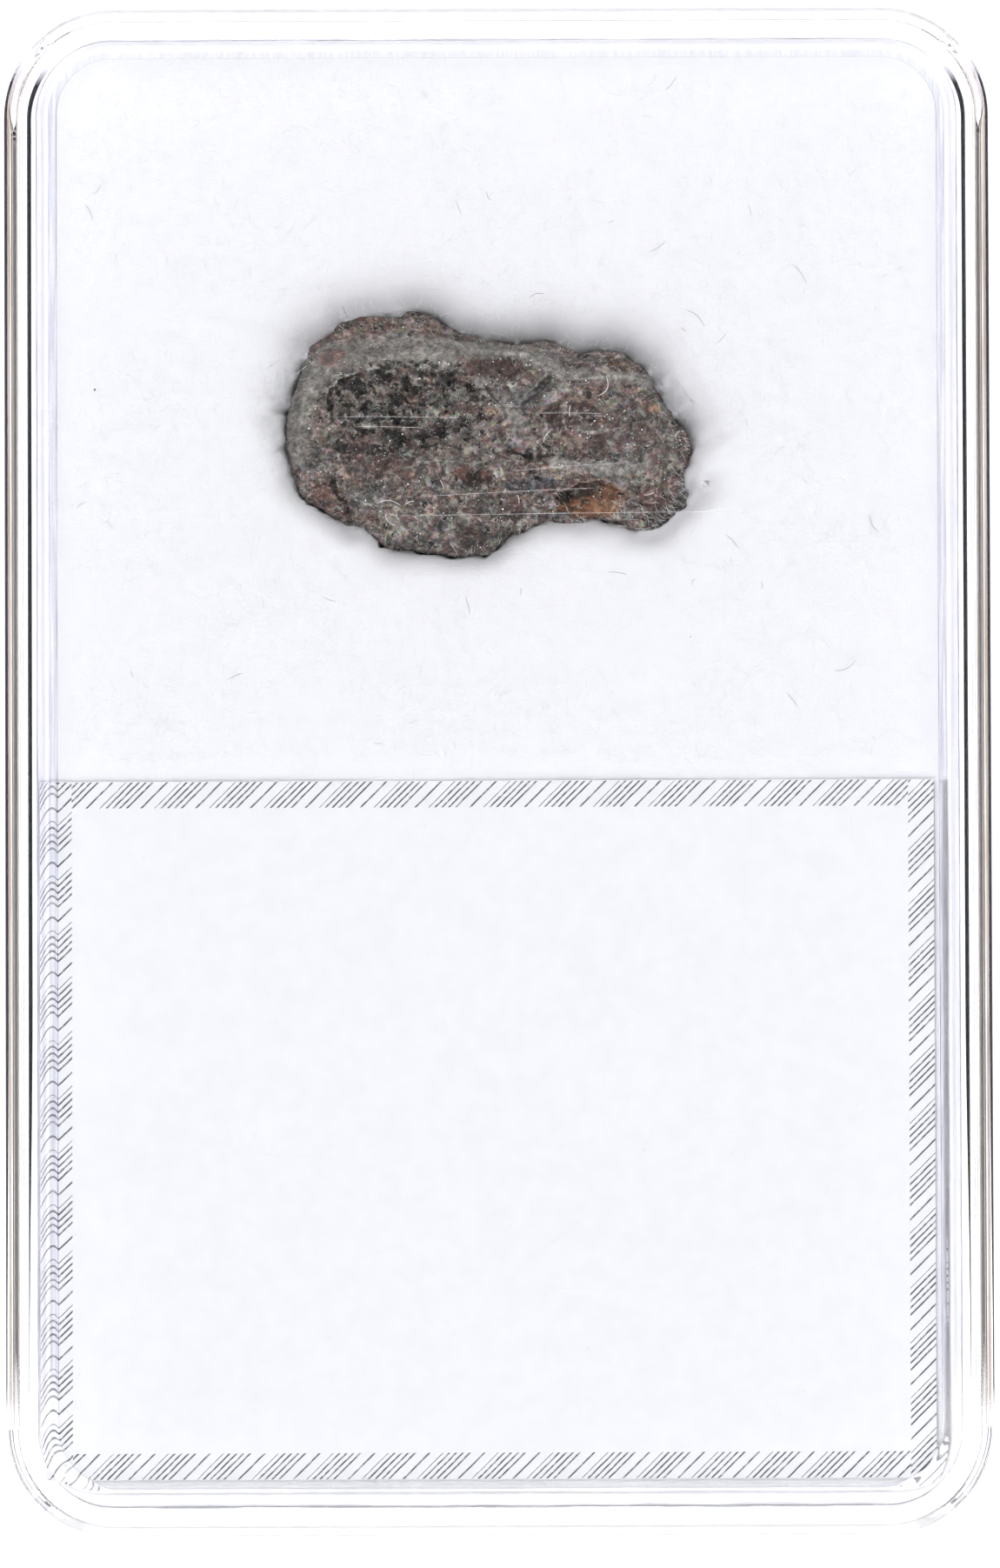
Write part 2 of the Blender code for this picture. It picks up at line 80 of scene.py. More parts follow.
# Marks on the stone's upper face: x, y from the stone's middle, half length, half width (mm), turn
# (degrees), colour, strength, and how much it stands out or sinks in (mm)
DARK_RED = (0.055, 0.012, 0.012)
PINK_TAN = (0.235, 0.135, 0.105)
BRICK = (0.150, 0.060, 0.045)
RUST = (0.190, 0.076, 0.030)
DEEP_BROWN = (0.030, 0.014, 0.010)
BLACK = (0.006, 0.006, 0.006)
CREAM = (0.300, 0.270, 0.215)
TAN = (0.350, 0.235, 0.140)
BEIGE = (0.235, 0.205, 0.160)
BLUE_GREY = (0.055, 0.062, 0.076)
SMOOTH_GREY = (0.165, 0.162, 0.160)
GREEN_GREY = (0.105, 0.116, 0.108)
MAROON = (0.070, 0.036, 0.030)
STONE_MARKS = [
    (-5.78, 2.88, 0.34, 0.36, 0, (0.250, 0.085, 0.070), 0.90, 0.00),
    (-5.78, 2.90, 0.20, 0.24, 0, DARK_RED, 0.95, -0.06),
    (-5.38, 2.98, 0.24, 0.18, 10, PINK_TAN, 0.85, 0.03),
    (-3.03, 1.52, 0.14, 0.11, 30, TAN, 0.95, 0.03),
    (-3.33, 1.01, 0.10, 0.09, 0, (0.80, 0.80, 0.78), 1.00, 0.03),
    (0.20, 2.50, 1.15, 0.42, -4, MAROON, 0.75, -0.05),
    (-2.10, 0.10, 0.80, 0.42, 10, MAROON, 0.55, -0.03),
    (1.32, 1.34, 0.62, 0.34, 32, SMOOTH_GREY, 0.90, 0.02),
    (0.30, 1.60, 0.34, 0.46, 20, SMOOTH_GREY, 0.60, 0.01),
    (4.36, 1.11, 0.50, 0.26, 12, CREAM, 0.85, 0.03),
    (6.10, 0.98, 0.27, 0.15, 8, TAN, 0.95, 0.05),
    (-0.70, -0.69, 0.15, 0.23, -15, CREAM, 0.90, 0.04),
    (-0.95, -1.35, 0.40, 0.24, 25, BRICK, 0.85, 0.02),
    (-0.50, -1.60, 0.42, 0.30, 15, DEEP_BROWN, 0.95, -0.12),
    (-0.05, -1.45, 0.22, 0.18, 0, BRICK, 0.75, 0.00),
    (1.50, -1.84, 0.95, 0.28, 4, BLUE_GREY, 0.80, -0.03),
    (3.80, -2.40, 1.20, 0.74, 8, RUST, 0.97, -0.10),
    # painted shadow: the dark band along the rusty hollow's upper edge
    (3.45, -2.02, 0.85, 0.26, 16, DEEP_BROWN, 0.90, -0.16),
    (2.80, -2.24, 0.26, 0.20, 0, BLACK, 0.90, -0.16),
    (4.30, -2.62, 0.62, 0.30, 6, (0.330, 0.165, 0.080), 0.75, 0.02),
    (-6.15, 0.15, 0.34, 0.26, 0, BEIGE, 0.75, 0.02),
    (-6.45, 1.05, 0.20, 0.16, 0, CREAM, 0.65, 0.02),
    (-4.55, -2.30, 0.62, 0.40, -20, GREEN_GREY, 0.70, 0.00),
    (-4.85, -0.52, 1.30, 0.20, -6, BLACK, 0.75, -0.14),
    (-5.72, 1.40, 0.15, 0.80, 4, BLACK, 0.70, -0.16),
    (-4.95, 1.95, 0.60, 0.24, 15, BLACK, 0.65, -0.14),
    (-3.75, 2.05, 0.45, 0.20, 0, BLACK, 0.45, -0.10),
    (-1.60, 1.70, 0.30, 0.50, 20, BLACK, 0.30, -0.10),
    (2.30, 0.75, 0.20, 0.32, 0, BLACK, 0.60, -0.08),
    (1.55, -0.75, 0.24, 0.30, 0, BLACK, 0.60, -0.10),
    (4.00, -0.20, 0.30, 0.24, 0, MAROON, 0.75, -0.04),
    (5.10, -0.10, 0.34, 0.26, 30, BLUE_GREY, 0.60, -0.03),
    (6.60, -2.90, 0.80, 0.65, 20, BLACK, 0.55, -0.08),
    (6.10, -2.30, 0.60, 0.40, 10, BRICK, 0.45, -0.02),
    (-6.05, -2.05, 0.40, 0.32, 40, BRICK, 0.55, 0.00),
    (-3.35, -1.15, 0.95, 0.50, -10, MAROON, 0.55, -0.02),
    (-2.95, -1.45, 0.30, 0.18, 10, PINK_TAN, 0.60, 0.02),
    (-0.60, -3.70, 0.70, 0.50, 10, BLACK, 0.50, -0.08),
    (0.95, -2.95, 0.60, 0.34, 20, BLACK, 0.50, -0.08),
    (2.05, 1.90, 0.50, 0.10, 40, BLACK, 0.45, -0.08),
    (4.20, 0.30, 2.20, 1.00, -4, MAROON, 0.30, 0.00),
]

# Cracks and grooves on the upper face: width, depth (mm), points
STONE_CRACKS = [
    (0.055, 0.08, [(1.00, 0.98), (1.45, 1.18), (1.92, 1.57), (2.25, 1.95)]),
    (0.10, 0.14, [(-5.70, -1.60), (-5.55, -2.10), (-5.15, -2.55), (-5.05, -2.95)]),
    (0.045, 0.06, [(-0.10, 1.95), (0.15, 1.45), (0.55, 1.05), (0.70, 0.60)]),
    (0.06, 0.08, [(-3.10, -0.20), (-2.40, -0.45), (-1.60, -0.30), (-0.90, -0.55)]),
    (0.07, 0.08, [(0.60, -0.55), (1.60, -0.80), (2.60, -0.70), (3.40, -0.95)]),
]

# Pale seams and chipped edges that stand a little proud: width, rise (mm), colour, points
PALE = (0.36, 0.345, 0.31)
STONE_SEAMS = [
    (0.055, 0.05, PALE, [(-5.95, 1.50), (-5.85, 1.66), (-5.28, 2.11), (-4.11, 2.47), (-2.59, 2.65),
                         (-1.78, 3.01)]),
    (0.060, 0.07, PALE, [(-1.51, 3.46), (-0.79, 3.19), (0.47, 3.01), (1.37, 2.92), (1.82, 2.65),
                         (2.62, 2.11)]),
    (0.055, 0.06, PALE, [(2.62, 2.11), (3.20, 2.00), (3.70, 2.02), (4.60, 2.11), (5.95, 2.02)]),
    (0.035, 0.03, PALE, [(2.40, 1.92), (3.10, 1.80), (3.75, 1.86), (4.70, 1.90)]),
    (0.035, 0.05, PALE, [(1.10, 0.94), (1.50, 1.55), (1.95, 2.00), (2.35, 2.38)]),
    (0.035, 0.04, PALE, [(-0.34, 1.48), (0.05, 1.20), (0.65, 1.03), (1.19, 1.03)]),
    (0.040, 0.04, PALE, [(1.73, -0.75), (1.73, -0.45), (1.91, -0.23), (2.25, -0.13), (2.62, -0.14)]),
    (0.045, 0.04, (0.30, 0.20, 0.16), [(2.53, -2.20), (2.90, -1.92), (3.45, -1.76), (4.06, -1.66)]),
    (0.050, 0.04, (0.27, 0.19, 0.15), [(4.60, -1.75), (4.98, -2.10), (5.00, -2.55), (4.60, -2.98)]),
    (0.040, 0.03, PALE, [(-5.28, -1.84), (-4.95, -2.25), (-4.38, -2.56), (-3.66, -2.56)]),
    (0.030, 0.03, PALE, [(-2.90, -1.20), (-1.90, -0.95), (-0.60, -1.05), (0.40, -0.90)]),
    (0.030, 0.03, PALE, [(2.80, 0.25), (3.80, 0.05), (4.90, 0.20), (5.60, -0.15)]),
]

# The smooth skin that clings along the stone's upper and left margin: half width (mm) and its line
SKIN_BANDS = [
    (0.62, [(-7.1, -0.6), (-6.9, 0.8), (-6.5, 2.0), (-5.8, 2.95), (-4.4, 3.15), (-2.9, 3.25), (-1.6, 3.05)]),
    (0.34, [(-1.6, 3.05), (-0.6, 3.15), (0.4, 3.10), (1.3, 3.02), (2.2, 2.62), (2.9, 2.22)]),
    (0.24, [(2.9, 2.22), (3.7, 2.16), (4.8, 2.10), (6.0, 2.06)]),
    (0.30, [(-0.3, 2.0), (0.3, 1.5), (0.8, 0.9), (1.2, 0.4)]),
    (0.26, [(2.4, -1.0), (3.6, -1.15), (4.8, -1.35), (5.8, -1.10)]),
]

# The upper-left hollow ground, where the grains stand out most: middle, half sizes (mm)
ROUGH_GROUND = (-3.0, 1.15, 3.1, 1.7)

# White bedding fibres that lie on the stone: start, end (mm from the stone's middle), bow sideways (mm)
STONE_FIBRES = [
    (-4.05, -2.52, -3.15, -2.62, 0.16),
    (-3.72, -2.92, -3.34, -3.28, -0.10),
    (-3.60, -2.88, -3.22, -3.12, 0.06),
    (-3.02, -2.58, -2.66, -2.44, 0.03),
    (-1.72, -1.66, -1.58, -2.02, 0.02),
    (0.72, 1.86, 1.10, 1.92, -0.10),
    (4.02, 1.36, 4.36, 2.10, -0.22),
    (2.05, -0.30, 2.30, 0.12, 0.05),
    (5.70, -2.20, 6.10, -2.08, -0.04),
    (3.02, 0.62, 3.05, 1.05, 0.03),
    (-6.95, 2.30, -6.55, 2.66, 0.03),
    (1.10, -2.20, 1.16, -2.52, 0.02),
    (6.85, -0.10, 7.05, 0.20, 0.03),
]

# Long scratches on the lid over the stone: start x, y and end x, y (mm from the box's middle)
LID_SCRATCHES = [
    (-5.9, 12.92, -1.3, 12.86),
    (-5.2, 12.55, -2.7, 12.50),
    (1.4, 13.02, 3.9, 13.00),
    (-2.8, 9.98, 3.6, 10.28),
    (-3.6, 9.28, 8.9, 9.40),
    (0.4, 10.90, 4.6, 11.20),
]

# Hairs and grey marks over the bedding that stand where the photograph shows them, in its pixels:
# start x, y, end x, y
HAIRS_PX = [
    (100, 228, 108, 246), (526, 224, 533, 242), (768, 98, 781, 82), (752, 284, 768, 272),
    (790, 352, 812, 372), (914, 300, 930, 322), (118, 205, 109, 216), (960, 770, 985, 758),
    (700, 655, 722, 658), (536, 682, 541, 704), (610, 338, 628, 333), (905, 795, 918, 812),
    (395, 345, 402, 362), (262, 778, 280, 770), (1002, 590, 1012, 610), (835, 612, 850, 628),
]
# Dust specks: x, y in the photograph's pixels, size (mm)
SPECKS_PX = [(110, 442, 0.055), (795, 730, 0.030), (759, 276, 0.026), (948, 388, 0.022), (230, 640, 0.018)]

# A ray's start well above the object (mm), and its way down
WELL_ABOVE = 20
DOWN = Vector((0, 0, -1))

# Small roundings of the box, the width of the painted dark line on the lip, and how far before the far
# end the painted edge bands stop
SMALL_ROUND = 0.10 * MM
TIGHT_ROUND = 0.03 * MM
LIP_PAINTED_LINE = 0.28 * MM
EDGE_STOP = 1.4 * MM

# In mm: the paper's thickness, the hatch's shift at its right end, the deepest small holes in the
# stone, and the distance that the scratches keep from the lid's edge
PAPER = 0.11
RIGHT_MARGIN = 0.04
HOLE_DEPTH = 0.13
PANEL_INSET = 2.4

# How far the painted shade beside the stone reaches
SHADE_REACH = 1.1 * MM

# The middle of the painted shade bands along the box and how far from it they have faded out (mm)
BANDS_MIDDLE = 1.4
BANDS_REACH = 25.5

# Painted shade bands on the box's edges, dark lines and cream and lavender shading in place of the light
# that the clear walls lead and bend: inset and width (mm), share of the width at the near end, painted
# tint, evenness; the low refraction keeps their reflections weak
EDGE_IOR = 1.1
LIP_PAINTED_BANDS = [(0.70, 0.27, 0.35, (0.0005, 0.0006, 0.0005), 0.9995)]
RIM_PAINTED_BANDS = [
    (-0.06, 0.19, 0.60, (0.0008, 0.0006, 0.0009), 0.9995),
    (0.135, 0.145, 1.0, (0.22, 0.17, 0.135), 0.80),
    (0.43, 0.13, 1.0, (0.50, 0.44, 0.37), 0.80),
    (0.56, 0.035, 1.0, (0.14, 0.145, 0.15), 0.90),
    (0.66, 0.030, 1.0, (0.22, 0.23, 0.25), 0.90),
]
STEP_PAINTED_BANDS = [
    (1.10, 0.39, 1.0, (0.60, 0.60, 0.74), 0.70),
    (1.61, 0.30, 1.0, (0.36, 0.37, 0.49), 0.55),
    (1.91, 0.03, 1.0, (0.10, 0.10, 0.12), 0.60),
]


class SPECIMEN_PG_box(PropertyGroup):
    """Sizes and finish of the clear plastic box."""

    corner: FloatProperty(name="Corner radius", description="Outer corner", default=4.0 * MM, unit="LENGTH")
    lid_wall: FloatProperty(name="Lid wall", description="Wall thickness", default=0.45 * MM, unit="LENGTH")
    lip_wall: FloatProperty(
        name="Lip wall", description="Lip inside the lid", default=0.4 * MM, unit="LENGTH"
    )
    clearance: FloatProperty(name="Clearance", description="Lid to lip", default=0.3 * MM, unit="LENGTH")
    floor: FloatProperty(name="Floor", description="Floor thickness", default=1.0 * MM, unit="LENGTH")
    underside: FloatProperty(name="Lid underside", description="Height", default=10.9 * MM, unit="LENGTH")
    rim_top: FloatProperty(name="Rim height", description="Lid's rim", default=11.55 * MM, unit="LENGTH")
    step_outer: FloatProperty(
        name="Step foot", description="Inset of the step", default=1.14 * MM, unit="LENGTH"
    )
    step_inner: FloatProperty(
        name="Step top", description="Inset of the panel", default=1.94 * MM, unit="LENGTH"
    )
    edge_round: FloatProperty(
        name="Edge radius", description="Rounded edges", default=0.45 * MM, unit="LENGTH"
    )
    corner_steps: IntProperty(name="Corner steps", description="Faces round a corner", default=20, min=4)
    round_steps: IntProperty(name="Edge steps", description="Faces over a rounded edge", default=8, min=3)
    tint: FloatVectorProperty(
        name="Plastic tint", description="Colour of the clear plastic",
        subtype="COLOR", default=(0.985, 0.988, 1.0)
    )
    roughness: FloatProperty(
        name="Roughness", description="Polish of the plastic", default=0.015, min=0, max=1
    )
    ior: FloatProperty(name="IOR", description="Refraction of the plastic", default=1.59, min=1, max=2)
    haze: FloatProperty(name="End haze", description="Haze of the short walls", default=0.18, min=0, max=1)


class SPECIMEN_PG_stone(PropertyGroup):
    """Surface and colours of the stone."""

    cell: FloatProperty(name="Cell", description="Mesh cell", default=0.125 * MM, unit="LENGTH")
    lumps: FloatProperty(name="Lumps", description="Height of small lumps", default=0.085 * MM, unit="LENGTH")
    grains: FloatProperty(name="Grains", description="Height of the grains", default=0.07 * MM, unit="LENGTH")
    grey: FloatVectorProperty(
        name="Grey", description="Fine groundmass", subtype="COLOR", default=(0.188, 0.173, 0.153)
    )
    brown: FloatVectorProperty(
        name="Brown", description="Maroon-brown patches", subtype="COLOR", default=(0.185, 0.122, 0.098)
    )
    dark: FloatVectorProperty(
        name="Dark", description="Dark grains", subtype="COLOR", default=(0.016, 0.015, 0.015)
    )
    pale: FloatVectorProperty(
        name="Pale", description="Feldspar grains", subtype="COLOR", default=(0.44, 0.40, 0.35)
    )
    skin: FloatVectorProperty(
        name="Skin", description="Smooth skin", subtype="COLOR", default=(0.325, 0.308, 0.272)
    )
    crystals: IntProperty(name="Crystals", description="Small standing crystals", default=900, min=0)
    fuzz: IntProperty(name="Edge fuzz", description="Fibres over the stone's edge", default=330, min=0)


class SPECIMEN_PG_bedding(PropertyGroup):
    """Shape and colour of the soft white filling."""

    cell: FloatProperty(name="Cell", description="Mesh cell", default=0.22 * MM, unit="LENGTH")
    dip: FloatProperty(name="Dip", description="Depth beside the stone", default=1.85 * MM, unit="LENGTH")
    dip_width: FloatProperty(
        name="Dip width", description="How far it reaches", default=1.15 * MM, unit="LENGTH"
    )
    fluff: FloatProperty(name="Fluff", description="Unevenness", default=0.05 * MM, unit="LENGTH")
    fibres: IntProperty(name="Fibres", description="Loose fibres on the surface", default=5200, min=0)
    colour: FloatVectorProperty(
        name="Colour", description="Colour of the filling", subtype="COLOR", default=(0.872, 0.872, 0.884)
    )


class SPECIMEN_PG_label(PropertyGroup):
    """Paper and border of the label."""

    border: FloatProperty(name="Border", description="Width of the hatch", default=0.95 * MM, unit="LENGTH")
    margin: FloatProperty(name="Margin", description="Paper outside it", default=0.02 * MM, unit="LENGTH")
    pitch: FloatProperty(name="Pitch", description="Between strokes", default=0.25 * MM, unit="LENGTH")
    period: FloatProperty(name="Period", description="Length of one repeat", default=2.0 * MM, unit="LENGTH")
    stroke: FloatProperty(name="Stroke", description="Stroke width", default=0.092 * MM, unit="LENGTH")
    paper: FloatVectorProperty(
        name="Paper", description="Colour of the paper", subtype="COLOR", default=(0.790, 0.793, 0.800)
    )
    ink: FloatVectorProperty(
        name="Ink", description="Colour of the print", subtype="COLOR", default=(0.03, 0.03, 0.045)
    )


class SPECIMEN_PG_wear(PropertyGroup):
    """Small marks of handling."""

    scratches: IntProperty(name="Scratches", description="Fine scratches on the lid", default=46, min=0)
    hairs: IntProperty(name="Hairs", description="Stray hairs on the bedding", default=14, min=0)
    specks: IntProperty(name="Specks", description="Specks of dust", default=60, min=0)
    seed: IntProperty(name="Seed", description="Chooses where they lie", default=7)


class SPECIMEN_PG_stage(PropertyGroup):
    """Camera, floor and light."""

    tilt: FloatProperty(
        name="Tilt", description="Lean of the view from straight down",
        subtype="ANGLE", default=math.radians(4.2)
    )
    roll: FloatProperty(
        name="Roll", description="Turn of the view about its own line",
        subtype="ANGLE", default=math.radians(-0.2)
    )
    lens: FloatProperty(name="Lens", description="Focal length in millimetres", default=500.0, min=20)
    light: FloatProperty(name="Light", description="Brightness of the soft light", default=3.1, min=0)
    # painted light: the floor glows under the box in place of the light that the clear box leads under itself
    glow: FloatProperty(
        name="Floor glow", description="Light that the clear box leads under itself", default=0.85, min=0
    )
    floor_size: FloatProperty(name="Floor", description="Side of the floor", default=3.0, unit="LENGTH")
    floor_colour: FloatVectorProperty(
        name="Floor colour", description="Pale floor", subtype="COLOR", default=(0.72, 0.72, 0.72)
    )


def settings(name):
    """The property group of one piece."""
    return getattr(bpy.context.scene, "specimen_" + name)


class Value:
    """One output of a node, which can be added, multiplied and compared as a number is."""

    def __init__(self, graph, socket):
        self.graph, self.socket = graph, socket

    def __add__(self, other):
        return self.graph.math("ADD", self, other)

    def __sub__(self, other):
        return self.graph.math("SUBTRACT", self, other)

    def __rsub__(self, other):
        return self.graph.math("SUBTRACT", other, self)

    def __mul__(self, other):
        return self.graph.math("MULTIPLY", self, other)

    def __truediv__(self, other):
        return self.graph.math("DIVIDE", self, other)

    def __gt__(self, other):
        return self.graph.math("GREATER_THAN", self, other)

    def __lt__(self, other):
        return self.graph.math("LESS_THAN", self, other)

    def __abs__(self):
        return self.graph.math("ABSOLUTE", self)


class Graph:
    """Builds the nodes of a material or a world with short calls, each returning a Value."""

    def __init__(self, owner, coordinate="Object", scale=1 / MM):
        owner.use_nodes = True
        self.tree = owner.node_tree
        place = self.node("TexCoord", {}, coordinate)
        self.place = self.node("VectorMath", {0: place, "Scale": scale}, operation="SCALE")

    def node(self, kind, inputs, output=0, **options):
        """Add a node, set its options, feed its inputs by name or number, and return one output."""
        node = self.tree.nodes.new("ShaderNode" + kind)
        for name, option in options.items():
            setattr(node, name, option)
        for key, value in inputs.items():
            self.put(node.inputs[key], value)
        return Value(self, node.outputs[output])

    def put(self, socket, value):
        """Link a Value or set a plain one."""
        if isinstance(value, Value):
            self.tree.links.new(value.socket, socket)
        elif socket.type == "RGBA":
            socket.default_value = (*value, 1.0)
        else:
            socket.default_value = value

    def math(self, operation, a, b=0.0):
        return self.node("Math", {0: a, 1: b}, operation=operation)

    def larger(self, a, b):
        return self.math("MAXIMUM", a, b)

    def smaller(self, a, b):
        return self.math("MINIMUM", a, b)

    def fraction(self, a):
        return self.math("FRACT", a)

    def stretch(self, scale, turn=0.0):
        """The place on the object, scaled along each axis and turned about Z."""
        inputs = {"Vector": self.place, "Scale": scale, "Rotation": (0, 0, math.radians(turn))}
        return self.node("Mapping", inputs)

    def noise(self, scale, detail=3.0, roughness=0.55, distortion=0.0, vector=None, output="Fac"):
        inputs = {"Vector": vector or self.place, "Scale": scale, "Detail": detail}
        inputs |= {"Roughness": roughness, "Distortion": distortion}
        return self.node("TexNoise", inputs, output)

    def cells(self, scale, output="Color", vector=None):
        return self.node("TexVoronoi", {"Vector": vector or self.place, "Scale": scale}, output)

    def shifted(self, amount, reach):
        """The place, moved about by a noise colour."""
        return self.node("VectorMath", {0: amount, 1: (reach,) * 3, 2: self.place}, operation="MULTIPLY_ADD")

    def scaled(self, colour, factor):
        """A colour made darker or lighter by a number."""
        return self.node("VectorMath", {0: colour, "Scale": factor}, operation="SCALE")

    def channel(self, colour, name):
        return self.node("SeparateColor", {0: colour}, name)

    def axis(self, name):
        return self.node("SeparateXYZ", {0: self.place}, name)

    def ramp(self, value, low, high, to_low=0.0, to_high=1.0):
        """A smooth change of a number from one range to another."""
        inputs = {"Value": value, "From Min": low, "From Max": high, "To Min": to_low, "To Max": to_high}
        return self.node("MapRange", inputs, interpolation_type="SMOOTHSTEP")

    def mix(self, amount, a, b, blend="MIX"):
        return self.node("Mix", {"Factor": amount, 6: a, 7: b}, 2, data_type="RGBA", blend_type=blend)

    def attribute(self, name, output="Fac"):
        return self.node("Attribute", {}, output, attribute_name=name)

    def bump(self, height, strength, distance):
        return self.node("Bump", {"Height": height, "Strength": strength, "Distance": distance})


class Finish(Graph):
    """The nodes of one material."""

    def __init__(self, name):
        self.material = bpy.data.materials.new(name)
        super().__init__(self.material)
        self.shader = self.tree.nodes["Principled BSDF"]

    def made(self, **values):
        """Set the shader's own sockets by name, with underscores for spaces, and return the material."""
        for name, value in values.items():
            self.put(self.shader.inputs[name.replace("_", " ")], value)
        return self.material


def clear_plastic(name, clearness):
    """Moulded clear polystyrene, a little uneven in polish; a lower clearness is hazier."""
    box = settings("box")
    graph = Finish(name)
    graph.shader.distribution = "GGX"
    haze = graph.noise(0.4, detail=0.0)
    return graph.made(
        Base_Color=box.tint,
        IOR=box.ior,
        Transmission_Weight=clearness,
        Specular_IOR_Level=0.5,
        Roughness=graph.ramp(haze, 0.45, 0.7, 0.5 * box.roughness, 1.5 * box.roughness),
    )


def plastic_with_painted_bands(name, bands, ior, fade_from, end_share):
    """Clear plastic with painted shade bands that run round the box and fade towards its two ends: dark
    lines and cream and lavender shading in place of the light that the clear walls lead and bend.

    Each band gives the inset where it starts and its width (mm), the share of the width that is left
    at the near end, its painted tint and how even it is.
    """
    box = settings("box")
    graph = Finish(name)
    corner = box.corner / MM
    over_x = graph.larger(abs(graph.axis("X")) - (LID_HIGH.x / MM - corner), 0.0)
    over_y = graph.larger(abs(graph.axis("Y")) - (LID_HIGH.y / MM - corner), 0.0)
    inset = corner - graph.math("SQRT", over_x * over_x + over_y * over_y)
    fade = graph.ramp(abs(graph.axis("Y") - BANDS_MIDDLE), fade_from, BANDS_REACH, 1.0, end_share)
    streaks = graph.noise(1.0, vector=graph.stretch((11.0, 0.28, 1.0)))
    colour = box.tint
    for start, width, kept, tint, evenness in bands:
        taper = graph.ramp(graph.axis("Y"), -24.0, -8.0, kept, 1.0)
        reach = (inset - start) / (taper * width)
        band = graph.ramp(reach, -0.06, 0.06) * graph.ramp(reach, 0.92, 1.06, 1.0, 0.0)
        colour = graph.mix(band * fade * graph.ramp(streaks, 0.35, 0.65, evenness, 1.0), colour, tint)
    return graph.made(Base_Color=colour, IOR=ior, Transmission_Weight=1.0, Roughness=box.roughness)


def breccia():
    """Dark mixed stone: grey and maroon-brown ground, pits blackened with painted shade, pale grains and a
    smooth skin.
    """
    stone = settings("stone")
    graph = Finish("lunar_breccia")
    place = graph.shifted(graph.noise(1.9, output="Color"), 0.55)
    rough, skin = graph.attribute("rough"), graph.attribute("skin")
    mark, mark_amount = graph.attribute("mark", "Color"), graph.attribute("mark_amount")

    # the ground: grey and brown patches, cool and pale streaks, blotches, then the marks
    patches = graph.ramp(graph.noise(0.62, detail=4.0, distortion=0.7), 0.43, 0.60)
    colour = graph.mix(patches, stone.grey, stone.brown)
    cool = graph.ramp(graph.noise(0.8, vector=graph.stretch((1.0, 1.7, 1.0), 20)), 0.55, 0.68)
    colour = graph.mix(cool * 0.60, colour, (0.125, 0.129, 0.133))
    streaks = graph.noise(1.0, detail=5.0, roughness=0.7, vector=graph.stretch((1.2, 4.2, 1.2), 8))
    colour = graph.mix(graph.ramp(streaks, 0.50, 0.66) * 0.65, colour, (0.275, 0.260, 0.235))
    blotches = graph.noise(2.1, roughness=0.6, vector=place)
    colour = graph.scaled(colour, graph.ramp(blotches, 0.34, 0.64, 0.46, 1.50))
    olive = graph.ramp(graph.noise(1.5, distortion=0.8), 0.58, 0.68)
    colour = graph.mix(olive * 0.55, colour, (0.062, 0.060, 0.046))
    pink = graph.noise(1.25, detail=4.0, distortion=0.6, vector=graph.stretch((1.0, 1.3, 1.0), 40))
    colour = graph.mix(graph.ramp(pink, 0.56, 0.66) * 0.60, colour, (0.255, 0.165, 0.140))
    colour = graph.mix(mark_amount, colour, mark)

    # clasts and grains from coarse to fine
    clasts = graph.cells(2.7, vector=place)
    colour = graph.scaled(colour, graph.ramp(graph.channel(clasts, "Red"), 0.0, 1.0, 0.55, 1.50))
    tint = graph.scaled(graph.noise(4.2, detail=4.0, roughness=0.7, output="Color"), 2.0)
    colour = graph.mix(0.80, colour, graph.mix(1.0, colour, tint, "MULTIPLY"))
    red_clast = graph.ramp(graph.channel(clasts, "Green"), 0.80, 0.90)
    colour = graph.mix(red_clast * 0.55, colour, (0.150, 0.072, 0.058))
    show = graph.ramp(graph.noise(0.75), 0.40, 0.60, 0.35, 1.25)
    grains, small = graph.cells(6.5, vector=place), graph.cells(14.0, vector=place)
    for cells, name, low, high, strength, tone in (
        (grains, "Red", 0.70, 0.78, show * 0.52, stone.dark),
        (grains, "Blue", 0.86, 0.90, 0.55, (0.190, 0.070, 0.052)),
        (grains, "Green", 0.87, 0.92, show * 0.50, stone.pale),
        (small, "Red", 0.68, 0.78, show * 0.30, stone.dark),
        (small, "Green", 0.82, 0.90, 0.26, stone.pale),
    ):
        colour = graph.mix(graph.ramp(graph.channel(cells, name), low, high) * strength, colour, tone)

    # the smooth skin, pale and dark wisps, and the marks once more
    skin_streaks = graph.noise(1.3, detail=6.0, roughness=0.7, distortion=1.2)
    skin_colour = graph.mix(graph.ramp(skin_streaks, 0.36, 0.64), (0.150, 0.145, 0.128), stone.skin)
    colour = graph.mix(skin * 0.82, colour, skin_colour)
    wisp_place = graph.stretch((1.0, 3.6, 1.0), 6)
    wisps = graph.noise(2.0, detail=6.0, roughness=0.75, distortion=0.5, vector=wisp_place)
    colour = graph.mix(graph.ramp(wisps, 0.56, 0.70, 0.0, 0.50), colour, (0.40, 0.375, 0.335))
    colour = graph.mix(graph.ramp(wisps, 0.30, 0.42, 0.40, 0.0), colour, stone.dark)
    colour = graph.mix(mark_amount * 0.62, colour, mark)

    # holes blackened with painted shade and edged with broken pale rims of painted highlight, more of them on
    # rough ground
    holes = graph.noise(2.6, detail=6.0, roughness=0.70, vector=place)
    open_ground = rough * 0.58 + 0.42 - skin * 0.34
    reach = holes - graph.ramp(open_ground, 0.0, 1.0, 0.635, 0.520)
    hole_painted_shade = graph.larger(graph.ramp(reach, 0.0, 0.022), graph.attribute("painted_pit_shade"))
    # painted highlight: broken pale rims round the holes
    rim = graph.ramp(reach, -0.050, -0.018) * (1.0 - hole_painted_shade)
    rim = rim * graph.ramp(graph.noise(5.5), 0.44, 0.60, 0.0, 0.80)
    colour = graph.mix(rim, colour, (0.42, 0.40, 0.35))
    # painted shade: the holes are painted near-black
    colour = graph.mix(hole_painted_shade * 0.90, colour, (0.006, 0.0055, 0.005))
